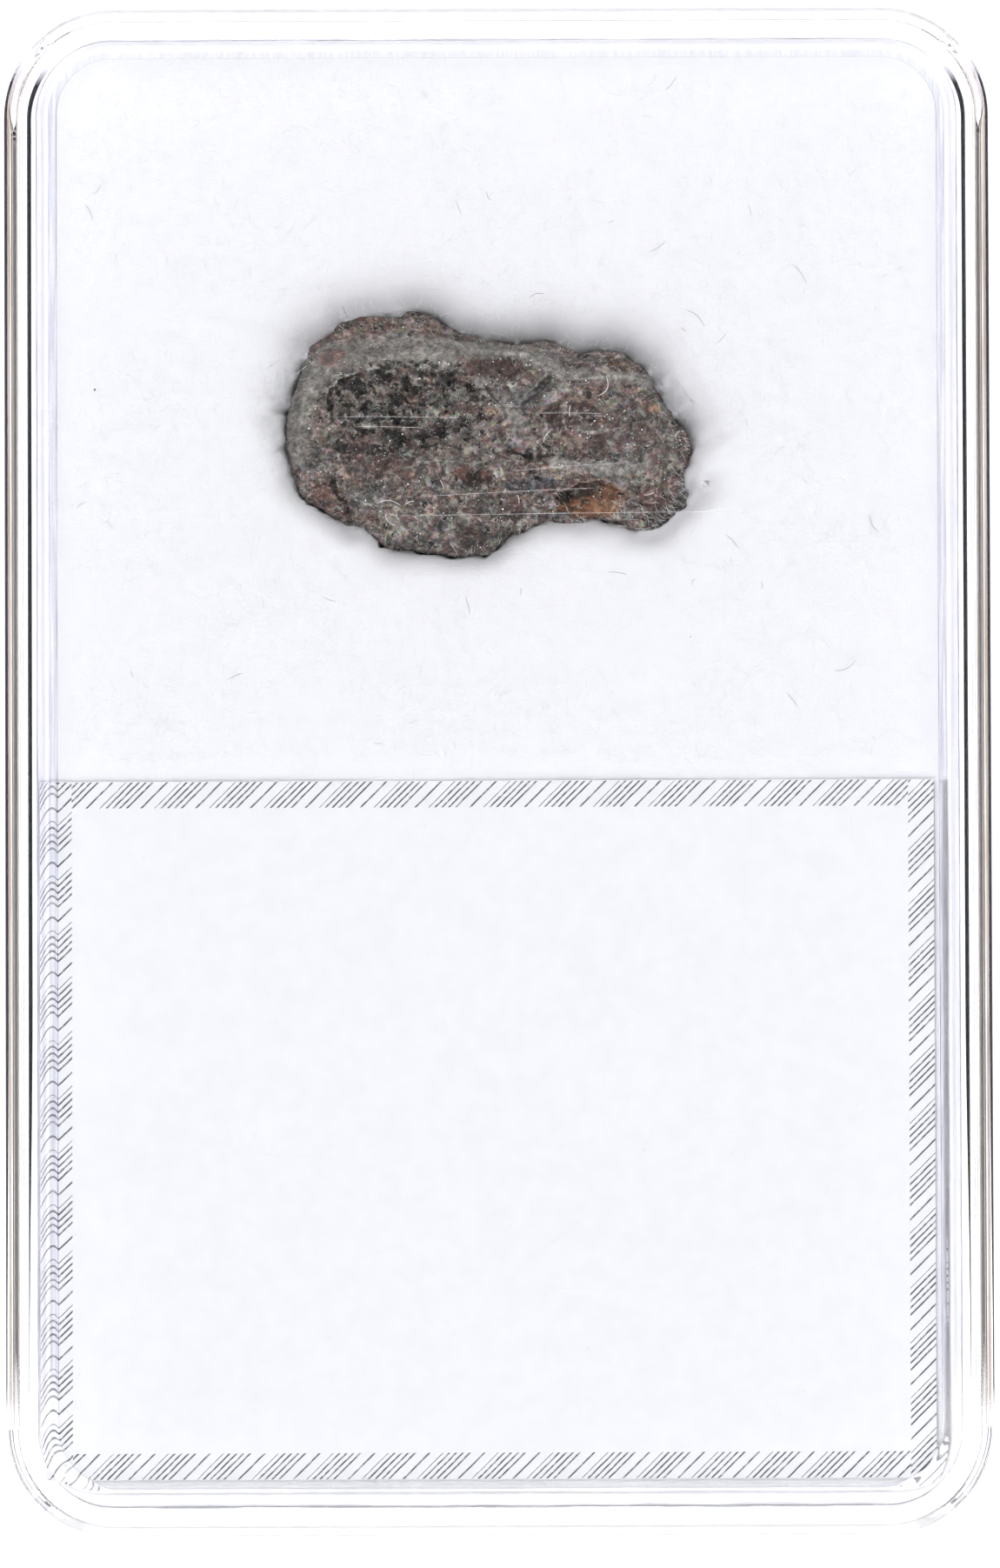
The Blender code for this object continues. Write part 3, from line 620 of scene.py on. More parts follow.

    # fine flecks, and painted glints: near-white sparkles gathered in places
    fleck = graph.noise(4.6, detail=6.0, roughness=0.70)
    colour = graph.scaled(colour, graph.ramp(fleck, 0.34, 0.66, 0.36, 1.34))
    gathered = graph.ramp(graph.noise(1.3, detail=2.0), 0.42, 0.62, 0.10, 1.0)
    for fineness, reach, share in ((11.0, 0.36, 0.90), (5.5, 0.22, 0.935)):
        near = graph.ramp(graph.cells(fineness, "Distance"), reach, 0.16)
        chosen = graph.ramp(graph.channel(graph.cells(fineness), "Blue"), share, share + 0.005)
        colour = graph.mix(near * chosen * gathered, colour, (1.0, 1.0, 0.97))

    relief = graph.noise(6.0, detail=6.0, roughness=0.7) - hole_painted_shade * 0.6
    return graph.made(
        Base_Color=colour,
        Roughness=0.66 - skin * 0.30,
        Normal=graph.bump(relief, 0.8, 0.07 * MM),
        Specular_IOR_Level=0.5,
    )


def crystal_skin():
    """Small pale and dark crystals with bright faces."""
    graph = Finish("grain_crystals")
    pick = graph.ramp(graph.channel(graph.cells(9.0), "Green"), 0.40, 0.60)
    colour = graph.mix(pick, (0.05, 0.045, 0.042), (0.34, 0.31, 0.27))
    gloss = graph.ramp(graph.noise(5.0), 0.3, 0.7, 0.12, 0.35)
    return graph.made(Base_Color=colour, Roughness=gloss, Specular_IOR_Level=0.6)


def soft_white():
    """Soft white filling with a fine fibrous speckle, with painted shade beside the stone."""
    white = settings("bedding").colour
    graph = Finish("white_bedding")
    tone = graph.noise(2.2, detail=5.0, roughness=0.7, vector=graph.stretch((1.0, 1.0, 2.5)))
    colour = graph.mix(graph.ramp(tone, 0.30, 0.62), [0.975 * channel for channel in white], white)
    # painted shade: the filling's colour is darkened close to the stone, most on its upper side
    colour = graph.scaled(colour, graph.ramp(graph.attribute("painted_stone_shade"), 0.0, 1.0, 1.0, 0.66))
    threads_along = graph.noise(3.0, detail=4.0, roughness=0.75, vector=graph.stretch((7.0, 1.6, 2.0), 35))
    threads_across = graph.noise(3.0, detail=4.0, roughness=0.75, vector=graph.stretch((1.5, 7.5, 2.0), -20))
    normal = graph.bump(threads_along + threads_across, 0.55, 0.06 * MM)
    return graph.made(Base_Color=colour, Roughness=1.0, Normal=normal, Specular_IOR_Level=0.15)


def fibre(name, colour, shade):
    """Fine thread, a little uneven in tone along its length."""
    graph = Finish(name)
    tone = graph.mix(graph.ramp(graph.noise(4.0), 0.35, 0.65), shade, colour)
    return graph.made(Base_Color=tone, Roughness=graph.ramp(graph.noise(6.0), 0.3, 0.7, 0.55, 0.75))


def label_paper():
    """Bluish-white paper with a printed border of slanted strokes, five close together and one alone."""
    label = settings("label")
    graph = Finish("label_paper")
    centre = (LABEL_LOW + LABEL_HIGH) / 2 / MM
    half = (LABEL_HIGH - LABEL_LOW) / 2 / MM
    across, along = graph.axis("X") - centre.x, graph.axis("Y") - centre.y
    from_side = half.x - abs(across) + (across > 0.0) * RIGHT_MARGIN
    from_end = half.y - abs(along)
    nearest = graph.smaller(from_side, from_end)
    margin, border = label.margin / MM, label.border / MM
    band = (nearest > margin) * (nearest < margin + border)

    pitch, period, stroke = label.pitch / MM, label.period / MM, label.stroke / MM
    wobble = (graph.noise(2.5) - 0.5) * 0.05
    slant = across - along + wobble + (from_side < margin + border) * (0.45 * period)
    turn = graph.fraction(slant / period) * period
    in_group = turn < 4.5 * pitch
    close = abs(graph.fraction(turn / pitch + 0.5) - 0.5) * pitch
    alone = abs(turn - 0.763 * period)
    group_line = graph.ramp(close, 0.55 * stroke, 0.38 * stroke) * in_group
    line = graph.larger(group_line, graph.ramp(alone, 0.55 * stroke, 0.38 * stroke))
    broken = graph.ramp(graph.noise(5.0, detail=4.0, roughness=0.75), 0.36, 0.54, 0.55, 1.0)

    pulp = graph.noise(1.4, detail=5.0, roughness=0.7)
    shade = [0.965 * channel for channel in label.paper]
    paper = graph.mix(graph.ramp(pulp, 0.35, 0.65), shade, label.paper)
    dust = graph.ramp(graph.cells(1.5, "Distance"), 0.055, 0.03)
    dust = dust * graph.ramp(graph.channel(graph.cells(1.5), "Red"), 0.45, 0.55)
    paper = graph.mix(dust * 0.28, paper, label.ink)
    return graph.made(
        Base_Color=graph.mix(line * band * broken * 0.92, paper, label.ink),
        Roughness=graph.ramp(pulp, 0.3, 0.7, 0.62, 0.74),
        Normal=graph.bump(graph.noise(9.0, detail=5.0, roughness=0.7), 0.25, 0.02 * MM),
    )


def scratch_white():
    """Whitened plastic in a fine scratch."""
    graph = Finish("scratched_plastic")
    tone = graph.mix(graph.ramp(graph.noise(2.0), 0.35, 0.65), (0.55, 0.55, 0.57), (0.85, 0.85, 0.87))
    return graph.made(Base_Color=tone, Roughness=0.5, Transmission_Weight=0.35)


def pale_floor():
    """Plain pale floor with a hardly visible grain, with a painted glow under the clear box in place of the
    light that the box leads under itself.
    """
    stage = settings("stage")
    graph = Finish("pale_floor")
    shade = [0.985 * channel for channel in stage.floor_colour]
    colour = graph.mix(graph.noise(0.05), shade, stage.floor_colour)
    # painted light: the floor emits light only under the box
    under_x, under_y = (
        graph.ramp(abs(graph.axis(name)), reach / MM - 0.4, reach / MM + 0.2, 1.0, 0.0)
        for name, reach in (("X", LID_HIGH.x), ("Y", LID_HIGH.y))
    )
    graph.material.cycles.emission_sampling = "NONE"
    return graph.made(
        Base_Color=colour,
        Roughness=0.85,
        Specular_IOR_Level=0.2,
        Emission_Color=(0.90, 0.89, 1.0),
        Emission_Strength=under_x * under_y * stage.glow,
    )


def link_mesh(name, mesh, material):
    """A new object in the scene with its material."""
    item = bpy.data.objects.new(name, mesh)
    bpy.context.scene.collection.objects.link(item)
    mesh.materials.clear()
    mesh.materials.append(material)
    return item


def mesh_from(name, verts, faces):
    """A mesh from points in millimetres."""
    mesh = bpy.data.meshes.new(name)
    mesh.from_pydata([tuple(c * MM for c in vert) for vert in verts], [], faces)
    mesh.update()
    return mesh


def closed_mesh(name, bm):
    """A mesh from a closed bmesh, with its faces turned outwards."""
    bmesh.ops.recalc_face_normals(bm, faces=bm.faces)
    mesh = bpy.data.meshes.new(name)
    bm.to_mesh(mesh)
    bm.free()
    return mesh


def rounded_rectangle(low, high, corner, inset, height, steps):
    """One loop of points round a rectangle with round corners, moved in by inset."""
    radius = corner - inset
    points = []
    for turn, (x, y) in enumerate(((high.x, high.y), (low.x, high.y), (low.x, low.y), (high.x, low.y))):
        middle_x = x - math.copysign(corner, x)
        middle_y = y - math.copysign(corner, y)
        for step in range(steps + 1):
            angle = math.radians(90 * turn + 90 * step / steps)
            points.append((middle_x + radius * math.cos(angle), middle_y + radius * math.sin(angle), height))
    return points


def quarter(inset, height, reach, rise, steps):
    """Profile of a rounded edge from one straight run to the next, without its two ends."""
    turns = [math.pi / 2 * step / steps for step in range(1, steps)]
    return [(inset + reach * (1 - math.cos(turn)), height + rise * math.sin(turn)) for turn in turns]


def moulded(name, profile, materials, edges):
    """A closed shell from a profile of inset and height that runs round the box, hazier at its two ends.

    Each edge gives the profile's first and last run that take a material with painted shade bands, that
    material, and whether it goes all round or only along the long sides.
    """
    box = settings("box")
    bm = bmesh.new()
    loops = []
    for inset, height in profile:
        ring = rounded_rectangle(LID_LOW, LID_HIGH, box.corner, inset, height, box.corner_steps)
        loops.append([bm.verts.new(point) for point in ring])
    count = len(loops[0])
    for lower, upper in zip(loops, loops[1:]):
        for i in range(count):
            j = (i + 1) % count
            bm.faces.new((lower[i], lower[j], upper[j], upper[i]))
    for ring in (loops[0], loops[-1]):
        bm.faces.new(ring)
    mesh = closed_mesh(name, bm)
    item = link_mesh(name, mesh, materials[0])
    for material in materials[1:] + [edge[2] for edge in edges]:
        mesh.materials.append(material)
    straight_x, straight_y = LID_HIGH.x - box.corner, LID_HIGH.y - box.corner
    for face in mesh.polygons:
        x, y = face.center.x, face.center.y
        from_side, from_end = LID_HIGH.x - abs(x), LID_HIGH.y - abs(y)
        long_side = -straight_y < y < LID_HIGH.y - EDGE_STOP and from_side < 0.5 * box.corner
        for i, (first, last, _, all_round) in enumerate(edges):
            if first <= face.index // count < last and (all_round or long_side):
                face.material_index = len(materials) + i
                break
        else:
            if min(from_side, from_end) <= box.step_outer:
                turn = math.atan2(max(abs(y) - straight_y, 0), max(abs(x) - straight_x, 1e-6))
                part = int(turn / (math.pi / 2) * len(materials))
                face.material_index = min(len(materials) - 1, part)
    mesh.shade_smooth()
    mesh.set_sharp_from_angle(angle=math.radians(40))
    return item


class SPECIMEN_OT_box(Operator):
    """Mould the clear base and the lift-off lid"""

    bl_idname = "specimen.box"
    bl_label = "Clear box"

    def execute(self, context):
        box = settings("box")
        plastic = [clear_plastic("clear_plastic", 1.0)]
        plastic += [clear_plastic(f"clear_plastic_end_{i}", 1 - box.haze * i / 4) for i in range(1, 5)]
        round_, small, tight, steps = box.edge_round, SMALL_ROUND, TIGHT_ROUND, box.round_steps
        lip_outer = box.lid_wall + box.clearance
        lip_inner = lip_outer + box.lip_wall
        parting, lip_top = LID_LOW.z - box.clearance, BASE_HIGH.z

        base = [(round_, 0.0)] + quarter(0.0, round_, round_, -round_, steps)[::-1]
        base += [(0.0, round_), (0.0, parting - small)]
        base += quarter(0.0, parting - small, small, small, 3)
        base += [(small, parting), (lip_outer - small, parting)]
        base += [(lip_outer, parting + small), (lip_outer, lip_top - tight)]
        line_start = len(base) - 1
        base += quarter(lip_outer, lip_top - tight, tight, tight, 4)
        base += [(lip_outer + tight, lip_top), (lip_outer + LIP_PAINTED_LINE, lip_top)]
        line_end = len(base) - 1
        base += [(lip_inner - small, lip_top)]
        base += quarter(lip_inner, lip_top - small, -small, small, 4)[::-1]
        base += [(lip_inner, lip_top - small), (lip_inner, box.floor + round_)]
        base += quarter(lip_inner, box.floor + round_, round_, -round_, steps)
        base += [(lip_inner + round_, box.floor)]
        # painted shade: a dark line along the top of the lip on the long sides
        lip_painted_shade = plastic_with_painted_bands("painted_shade_lip", LIP_PAINTED_BANDS, EDGE_IOR, 23.9, 0.0)
        tray = moulded("clear_base", base, plastic, [(line_start, line_end, lip_painted_shade, False)])

        rim, wall = LID_LOW.z, box.lid_wall
        lid = [(wall + round_, box.underside)]
        lid += quarter(wall, box.underside - round_, round_, round_, steps)[::-1]
        lid += [(wall, box.underside - round_), (wall, rim + small)]
        lid += [(wall - small, rim), (small, rim)] + quarter(0.0, rim + small, small, -small, 3)[::-1]
        lid += [(0.0, rim + small), (0.0, box.rim_top - round_)]
        line_start = len(lid) - 1
        lid += quarter(0.0, box.rim_top - round_, round_, round_, steps) + [(round_, box.rim_top)]
        line_end = len(lid)
        for step in range(2 * steps + 1):
            t = step / (2 * steps)
            inset = box.step_outer + (box.step_inner - box.step_outer) * t
            lid.append((inset, box.rim_top + (LID_HIGH.z - box.rim_top) * t * t * (3 - 2 * t)))
        # painted shade: dark lines and cream shading on the rim's rounded edge, lavender shading over the
        # step
        rim_painted_shade = plastic_with_painted_bands("painted_shade_rim", RIM_PAINTED_BANDS, EDGE_IOR, 23.9, 0.0)
        step_painted_shade = plastic_with_painted_bands("painted_shade_step", STEP_PAINTED_BANDS, box.ior, 22.5, 0.3)
        edges = [(line_start, line_end, rim_painted_shade, False), (line_end, len(lid) - 1, step_painted_shade, True)]
        cover = moulded("clear_lid", lid, plastic, edges)
        for piece, node in ((tray, "box_base"), (cover, "box_lid")):
            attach(piece, "root")
            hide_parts(node)
        return {"FINISHED"}


def seam_distance(points, line):
    """Distance of each point (x, y) to a polyline."""
    nearest = np.full(len(points), 1e9)
    for a, b in zip(line, line[1:]):
        a, b = np.array(a), np.array(b)
        edge = b - a
        t = np.clip(((points - a) @ edge) / (edge @ edge), 0, 1)
        nearest = np.minimum(nearest, np.linalg.norm(points - a - t[:, None] * edge, axis=1))
    return nearest


def spot_reach(points, x, y, half_length, half_width, turn):
    """How far each point lies out in a turned oval, 0 at its middle and 1 at its edge."""
    angle = math.radians(turn)
    dx, dy = points[:, 0] - x, points[:, 1] - y
    along = (dx * math.cos(angle) + dy * math.sin(angle)) / half_length
    across = (dy * math.cos(angle) - dx * math.sin(angle)) / half_width
    return np.hypot(along, across)


def soft_edge(value, start, end):
    """Smooth change from 1 below start to 0 above end."""
    t = np.clip((value - start) / (end - start), 0, 1)
    return 1 - t * t * (3 - 2 * t)


def sample_noise(points, scale, seed, octaves=3):
    """Fractal noise at each point."""
    shift = Vector((seed, seed * 1.7, seed * 0.6))
    return np.array([noise.fractal(Vector(p) * scale + shift, 0.9, 2.1, octaves) for p in points])


def grain_field(points, scale, seed):
    """For each point, the gap to the next grain and a random height of its own grain."""
    shift = Vector((seed, seed * 0.4, seed * 2.3))
    gap, level = [], []
    for p in points:
        distances, cells = noise.voronoi(Vector(p) * scale + shift, distance_metric="DISTANCE")
        gap.append(distances[1] - distances[0])
        level.append(noise.cell(cells[0] * 7.31))
    return np.array(gap), np.array(level)


def fine_stone_mesh():
    """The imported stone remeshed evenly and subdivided, in millimetres."""
    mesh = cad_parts["meteorite"].data.copy()
    mesh.transform(Matrix.Scale(1 / MM, 4))
    blank = bpy.data.objects.new("stone_blank", mesh)
    bpy.context.scene.collection.objects.link(blank)
    remesh = blank.modifiers.new("even", "REMESH")
    remesh.mode = "VOXEL"
    remesh.voxel_size = settings("stone").cell / MM
    smooth = blank.modifiers.new("fine", "SUBSURF")
    smooth.levels = 1
    smooth.render_levels = 1
    graph = bpy.context.evaluated_depsgraph_get()
    fine = bpy.data.meshes.new_from_object(blank.evaluated_get(graph))
    bpy.data.objects.remove(blank, do_unlink=True)
    bpy.data.meshes.remove(mesh)
    return fine


def read_vectors(collection, name):
    """The vectors of a mesh collection as rows."""
    values = np.empty(len(collection) * 3)
    collection.foreach_get(name, values)
    return values.reshape(-1, 3)


def weather_stone(mesh):
    """Add lumps, grains, pits, cracks and named marks to the fine mesh, and store what the material needs."""
    stone = settings("stone")
    count = len(mesh.vertices)
    points = read_vectors(mesh.vertices, "co")
    normals = read_vectors(mesh.vertex_normals, "vector")
    plan = points[:, :2] - np.array(STONE_MIDDLE)
    upper = soft_edge(-normals[:, 2], -0.35, 0.15)

    rough = soft_edge(spot_reach(plan, *ROUGH_GROUND, 0), 0.75, 1.15) * upper
    skin = np.zeros(count)
    for width, line in SKIN_BANDS:
        skin = np.maximum(skin, soft_edge(seam_distance(plan, line), 0.45 * width, 1.25 * width))
    breakup = sample_noise(points, 1.1, 4.2)
    skin = np.clip(skin * upper * (1 + 0.45 * breakup), 0, 1)

    gap, level = grain_field(points, 3.2, 2.9)
    fine_gap, fine_level = grain_field(points, 8.0, 7.7)
    grains = (level - 0.5) * soft_edge(-gap, -0.16, -0.02)
    fine_grains = (fine_level - 0.5) * soft_edge(-fine_gap, -0.16, -0.02)
    ground = (0.35 + 0.85 * rough) * (1 - 0.85 * skin)
    height = sample_noise(points, 1.5, 1.3, 4) * stone.lumps / MM * (1 - 0.6 * skin)
    height += ground * (grains + 0.6 * fine_grains) * stone.grains / MM

    hole_amount = soft_edge(-sample_noise(points, 2.6, 9.1, 4), -0.62, -0.30) * ground
    height -= HOLE_DEPTH * hole_amount
    # painted shade: the holes, the gaps between grains and, below, the cracks are darkened in colour as well
    # as sunk
    painted_pit_shade = np.clip(0.75 * hole_amount, 0, 1)
    painted_pit_shade = np.maximum(painted_pit_shade, 0.38 * ground * soft_edge(gap, 0.0, 0.10))

    colour = np.zeros((count, 4))
    colour[:, 3] = 1
    amount = np.zeros(count)

    def lay(tint, share):
        """Lay a colour over the ones there, and return the amount of colour that there is then."""
        keep = amount * (1 - share)
        total = keep + share
        blend = colour[:, :3] * keep[:, None] + np.array(tint) * share[:, None]
        colour[:, :3] = blend / np.maximum(total, 1e-6)[:, None]
        return total

    ragged = 0.34 * sample_noise(points, 2.6, 6.4, 5)
    for *oval, tint, strength, rise in STONE_MARKS:
        reach = spot_reach(plan, *oval) + ragged
        inside = soft_edge(reach, 0.78, 1.08) * upper
        height += rise * soft_edge(reach, 0.30, 1.20) * upper
        amount = lay(tint, inside * strength)
        if rise > 0:
            painted_pit_shade *= 1 - inside
            skin *= 1 - inside
    for width, depth, line in STONE_CRACKS:
        inside = soft_edge(seam_distance(plan, line) + 0.04 * breakup, 0.3 * width, width) * upper
        height -= depth * inside
        # painted shade in the crack
        painted_pit_shade = np.maximum(painted_pit_shade, 0.75 * inside)
    seam_breaks = soft_edge(-sample_noise(points, 2.2, 3.3, 3), -0.05, 0.25)
    for width, rise, tint, line in STONE_SEAMS:
        reach = seam_distance(plan, line) + 0.05 * breakup
        height += rise * soft_edge(reach, 0.0, 3.0 * width) * upper
        share = soft_edge(reach, 0.6 * width, 1.5 * width) * upper * (0.50 + 0.5 * seam_breaks)
        amount = lay(tint, share)
        painted_pit_shade *= 1 - share

    moved = points + normals * height[:, None]
    moved[:, 2] = np.minimum(moved[:, 2], STONE_HIGH.z / MM + 0.12)
    mesh.vertices.foreach_set("co", (moved * MM).ravel())
    for name, values in (("skin", skin), ("painted_pit_shade", painted_pit_shade), ("rough", rough), ("mark_amount", amount)):
        layer = mesh.attributes.new(name, "FLOAT", "POINT")
        layer.data.foreach_set("value", values.astype(np.float32))
    layer = mesh.attributes.new("mark", "FLOAT_COLOR", "POINT")
    layer.data.foreach_set("color", colour.astype(np.float32).ravel())
    mesh.update()


def mesh_tree(item):
    """A search tree over an object's mesh, in the row's frame."""
    bm = bmesh.new()
    bm.from_mesh(item.data)
    tree = BVHTree.FromBMesh(bm)
    bm.free()
    return tree


def seen_from_above(tree, x, y):
    """The highest point (mm) of a tree's mesh at a place and its normal there, or None twice."""
    point, normal, _, _ = tree.ray_cast(Vector((x, y, WELL_ABOVE)) * MM, DOWN)
    return (None if point is None else point / MM), normal


def crystal_cluster(name, places, material):
    """Small eight-faced crystals: each place gives a point, a direction, a size and a turn (mm)."""
    verts, faces = [], []
    for point, direction, size, turn in places:
        side = direction.orthogonal().normalized()
        side.rotate(Matrix.Rotation(turn, 3, direction))
        other = direction.cross(side)
        start = len(verts)
        verts += [point + direction * size * 0.9, point - direction * size * 0.8]
        verts += [point + side * size, point + other * size * 0.7]
        verts += [point - side * size, point - other * size * 0.7]
        for i in range(4):
            a, b = start + 2 + i, start + 2 + (i + 1) % 4
            faces += [(start, a, b), (start + 1, b, a)]
    return link_mesh(name, mesh_from(name, verts, faces), material)


def threads(name, paths, material):
    """Fine square-sectioned threads along paths, each a list of points (mm) and a radius."""
    verts, faces = [], []
    for path, radius in paths:
        start = len(verts)
        for i, point in enumerate(path):
            ahead = path[min(i + 1, len(path) - 1)] - path[max(i - 1, 0)]
            ahead.normalize()
            side = ahead.cross(Vector((0, 0, 1)))
            if side.length < 1e-6:
                side = ahead.orthogonal()
            side.normalize()
            up = side.cross(ahead)
            width = radius * (0.35 if i in (0, len(path) - 1) else 1.0)
            verts += [point + side * width, point + up * width, point - side * width, point - up * width]
        for i in range(len(path) - 1):
            for k in range(4):
                a, b = start + 4 * i + k, start + 4 * i + (k + 1) % 4
                faces.append((a, b, b + 4, a + 4))
        last = start + 4 * (len(path) - 1)
        faces += [(start + 3, start + 2, start + 1, start), (last, last + 1, last + 2, last + 3)]
    return link_mesh(name, mesh_from(name, verts, faces), material)


def bowed_path(start, end, bow, steps):
    """Points from start to end with an even sideways bow."""
    line = end - start
    side = Vector((-line.y, line.x, 0)).normalized() * bow
    shares = [i / steps for i in range(steps + 1)]
    return [start + line * share + side * math.sin(math.pi * share) for share in shares]


def edge_fuzz(tree, count, chance):
    """Short bedding fibres that reach in over the stone's edge, thickest at its lower right (mm)."""
    paths = []
    while len(paths) < count:
        anywhere = chance.random() < 0.4
        angle = chance.uniform(0, 2 * math.pi) if anywhere else math.radians(chance.gauss(-28, 12))
        out = Vector((math.cos(angle), math.sin(angle), 0))
        level = chance.uniform(8.4, 9.9)
        start = Vector((STONE_MIDDLE[0], STONE_MIDDLE[1] + 0.2, level)) + out * 11
        hit, _, _, _ = tree.ray_cast(start * MM, -out)
        if hit is None:
            continue
        edge = hit / MM
        side = Vector((-out.y, out.x, 0)) * chance.gauss(0, 0.5)
        reach = chance.uniform(0.06, 0.24)
        path = []
        for share in (-0.12, 0.0, 0.5 * reach, reach):
            point = edge - (out + side) * share
            top, _ = seen_from_above(tree, point.x, point.y)
            height = edge.z if top is None else max(edge.z, top.z)
            path.append(Vector((point.x, point.y, height + 0.035)))
        paths.append((path, chance.uniform(0.003, 0.006)))
    return paths


class SPECIMEN_OT_stone(Operator):
    """Weather the stone's surface and set small crystals and fibres on it"""

    bl_idname = "specimen.stone"
    bl_label = "Stone"

    def execute(self, context):
        stone = settings("stone")
        mesh = fine_stone_mesh()
        mesh.name = "breccia_stone"
        weather_stone(mesh)
        piece = link_mesh("breccia_stone", mesh, breccia())
        mesh.shade_smooth()
        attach(piece, "root")
        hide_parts("meteorite")

        tree = mesh_tree(piece)
        chance = random.Random(31)
        middle = Vector((*STONE_MIDDLE, 0))
        half = (STONE_HIGH - STONE_LOW) / 2 / MM
        places = []
        while len(places) < stone.crystals:
            x = middle.x + chance.uniform(-half.x, half.x)
            y = middle.y + chance.uniform(-half.y, half.y)
            point, normal = seen_from_above(tree, x, y)
            if point is None:
                continue
            lean = Vector([chance.gauss(0, 0.45) for _ in range(3)])
            size = 0.010 + 0.024 * chance.random() ** 3
            places.append((point, (normal + lean).normalized(), size, chance.uniform(0, 3)))
        crystals = crystal_cluster("grain_crystals", places, crystal_skin())
        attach(crystals, "root")

        paths = []
        for x0, y0, x1, y1, bow in STONE_FIBRES:
            path = bowed_path(middle + Vector((x0, y0, 0)), middle + Vector((x1, y1, 0)), bow, 8)
            for point in path:
                hit, _ = seen_from_above(tree, point.x, point.y)
                point.z = (hit.z if hit else PAD_HIGH.z / MM - 1) + 0.05
            for _ in range(2):
                heights = [point.z for point in path]
                for i in range(1, len(path) - 1):
                    path[i].z = max(heights[i], sum(heights[i - 1 : i + 2]) / 3)
            paths.append((path, 0.012))
        paths += edge_fuzz(tree, stone.fuzz, chance)
        thread = fibre("bedding_fibre", (0.92, 0.92, 0.90), (0.75, 0.75, 0.73))
        fibres = threads("stone_fibres", paths, thread)
        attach(fibres, "root")
        return {"FINISHED"}


def lee_side(away):
    """How far a direction from the stone points to its shaded upper side, from 0 to 1."""
    share = min(1.0, max(0.0, (away.y / max(away.length, 1e-9) + 0.35) / 1.15))
    return share * share * (3 - 2 * share)


def bedding_height(x, y, tree):
    """Height of the bedding's top at a place (mm), pressed down by the stone and by the label."""
    bedding = settings("bedding")
    level = PAD_HIGH.z / MM
    probe = Vector((x, y, level - 1.75)) * MM
    past_label = (y - LABEL_HIGH.y / MM - 0.35) / 0.55
    beside = min(1.0, max(0.0, (LABEL_HIGH.x / MM + 0.12 - x) / 0.14))
    level -= (0.12 + 0.19 * beside) / (1 + math.exp(max(-30, min(30, 4 * past_label))))
    near, _, _, distance = tree.find_nearest(probe)
    over, _ = seen_from_above(tree, x, y)
    within = over is not None and over.z > probe.z / MM
    lee = lee_side(near - probe if within else probe - near)
    reach = 0.0 if within else distance / (bedding.dip_width * (0.32 + 0.68 * lee))
    level -= bedding.dip / MM * (0.74 + 0.26 * lee) * math.exp(-(reach**1.25))
    if over is None:
        return level
    under, _, _, _ = tree.ray_cast(Vector((x, y, 0)) * MM, -DOWN)
    buried = min(1.0, max(0.0, (over.z - level - 0.3) / 0.4))
    return level + (min(level, under.z / MM - 0.04) - level) * buried


def closed_block(name, counts, place):
    """A closed mesh with a grid on each of its six sides; place gives the point (mm) of a grid step."""
    bm = bmesh.new()
    made = {}
    for axis in range(3):
        first, second = [other for other in range(3) if other != axis]
        for end in (0, counts[axis]):
            for a in range(counts[first]):
                for b in range(counts[second]):
                    square = []
                    for step_a, step_b in ((0, 0), (1, 0), (1, 1), (0, 1)):
                        key = [end] * 3
                        key[first], key[second] = a + step_a, b + step_b
                        key = tuple(key)
                        if key not in made:
                            made[key] = bm.verts.new([c * MM for c in place(*key)])
                        square.append(made[key])
                    bm.faces.new(square)
    return closed_mesh(name, bm)


def bedding_mesh(tree):
    """Closed soft block that bulges at its sides and is pressed down by what lies on it."""
    bedding = settings("bedding")
    low, high = PAD_LOW / MM, PAD_HIGH / MM
    counts = [max(4, round((high[i] - low[i]) * MM / bedding.cell)) for i in range(3)]
    corner = 2.3
    side_top = high.z - 0.15

    def place(i, j, k):
        u, v, w = i / counts[0], j / counts[1], k / counts[2]
        x, y = low.x + (high.x - low.x) * u, low.y + (high.y - low.y) * v
        inner_x = min(max(x, low.x + corner), high.x - corner)
        inner_y = min(max(y, low.y + corner), high.y - corner)
        dx, dy = x - inner_x, y - inner_y
        if dx and dy:
            scale = max(abs(dx), abs(dy)) / math.hypot(dx, dy)
            x, y = inner_x + dx * scale, inner_y + dy * scale
        away = Vector((x - inner_x, y - inner_y, 0)).normalized()
        puff = noise.fractal(Vector((x, y, 5.0 * w)) * 0.55, 0.8, 2.0, 3)
        fuzz = noise.fractal(Vector((x, y, 9.0 * w)) * 2.6, 0.7, 2.2, 3)
        if w < 1:
            z = low.z + (side_top - low.z) * w
            if i in (0, counts[0]) or j in (0, counts[1]):
                swell = 0.08 * (puff + 0.5 * fuzz)
                inward = max(-0.2, swell - 0.12) if w > 0.5 else max(0.0, swell + 0.30 * math.exp(-12 * w))
                x, y = x - away.x * inward, y - away.y * inward
            return x, y, z
        edge = min(x - low.x, high.x - x, y - low.y, high.y - y)
        calm = 0.35 if y < LABEL_HIGH.y / MM else 1.0
        z = bedding_height(x, y, tree) - 0.10 * math.exp(-edge * 3.6)
        z += calm * bedding.fluff / MM * (fuzz + 0.6 * puff)
        if edge <= 1e-6:
            x, y = x + away.x * 0.12, y + away.y * 0.12
        return x, y, z

    return closed_block("soft_bedding", counts, place)


def surface_fibre(chance, tree, x, y, length, lift, radius, steps):
    """A wandering fibre that follows the bedding's top from a place (mm)."""
    heading = chance.uniform(0, 2 * math.pi)
    bend = chance.gauss(0, 1.6)
    path = []
    for step in range(steps + 1):
        hit, _ = seen_from_above(tree, x, y)
        if hit is None:
            break
        path.append(Vector((x, y, hit.z - 0.02 + lift * math.sin(math.pi * step / steps))))
        x += math.cos(heading) * length / steps
        y += math.sin(heading) * length / steps
        heading += bend / steps + chance.gauss(0, 0.18)
    return (path, radius) if len(path) > 2 else None


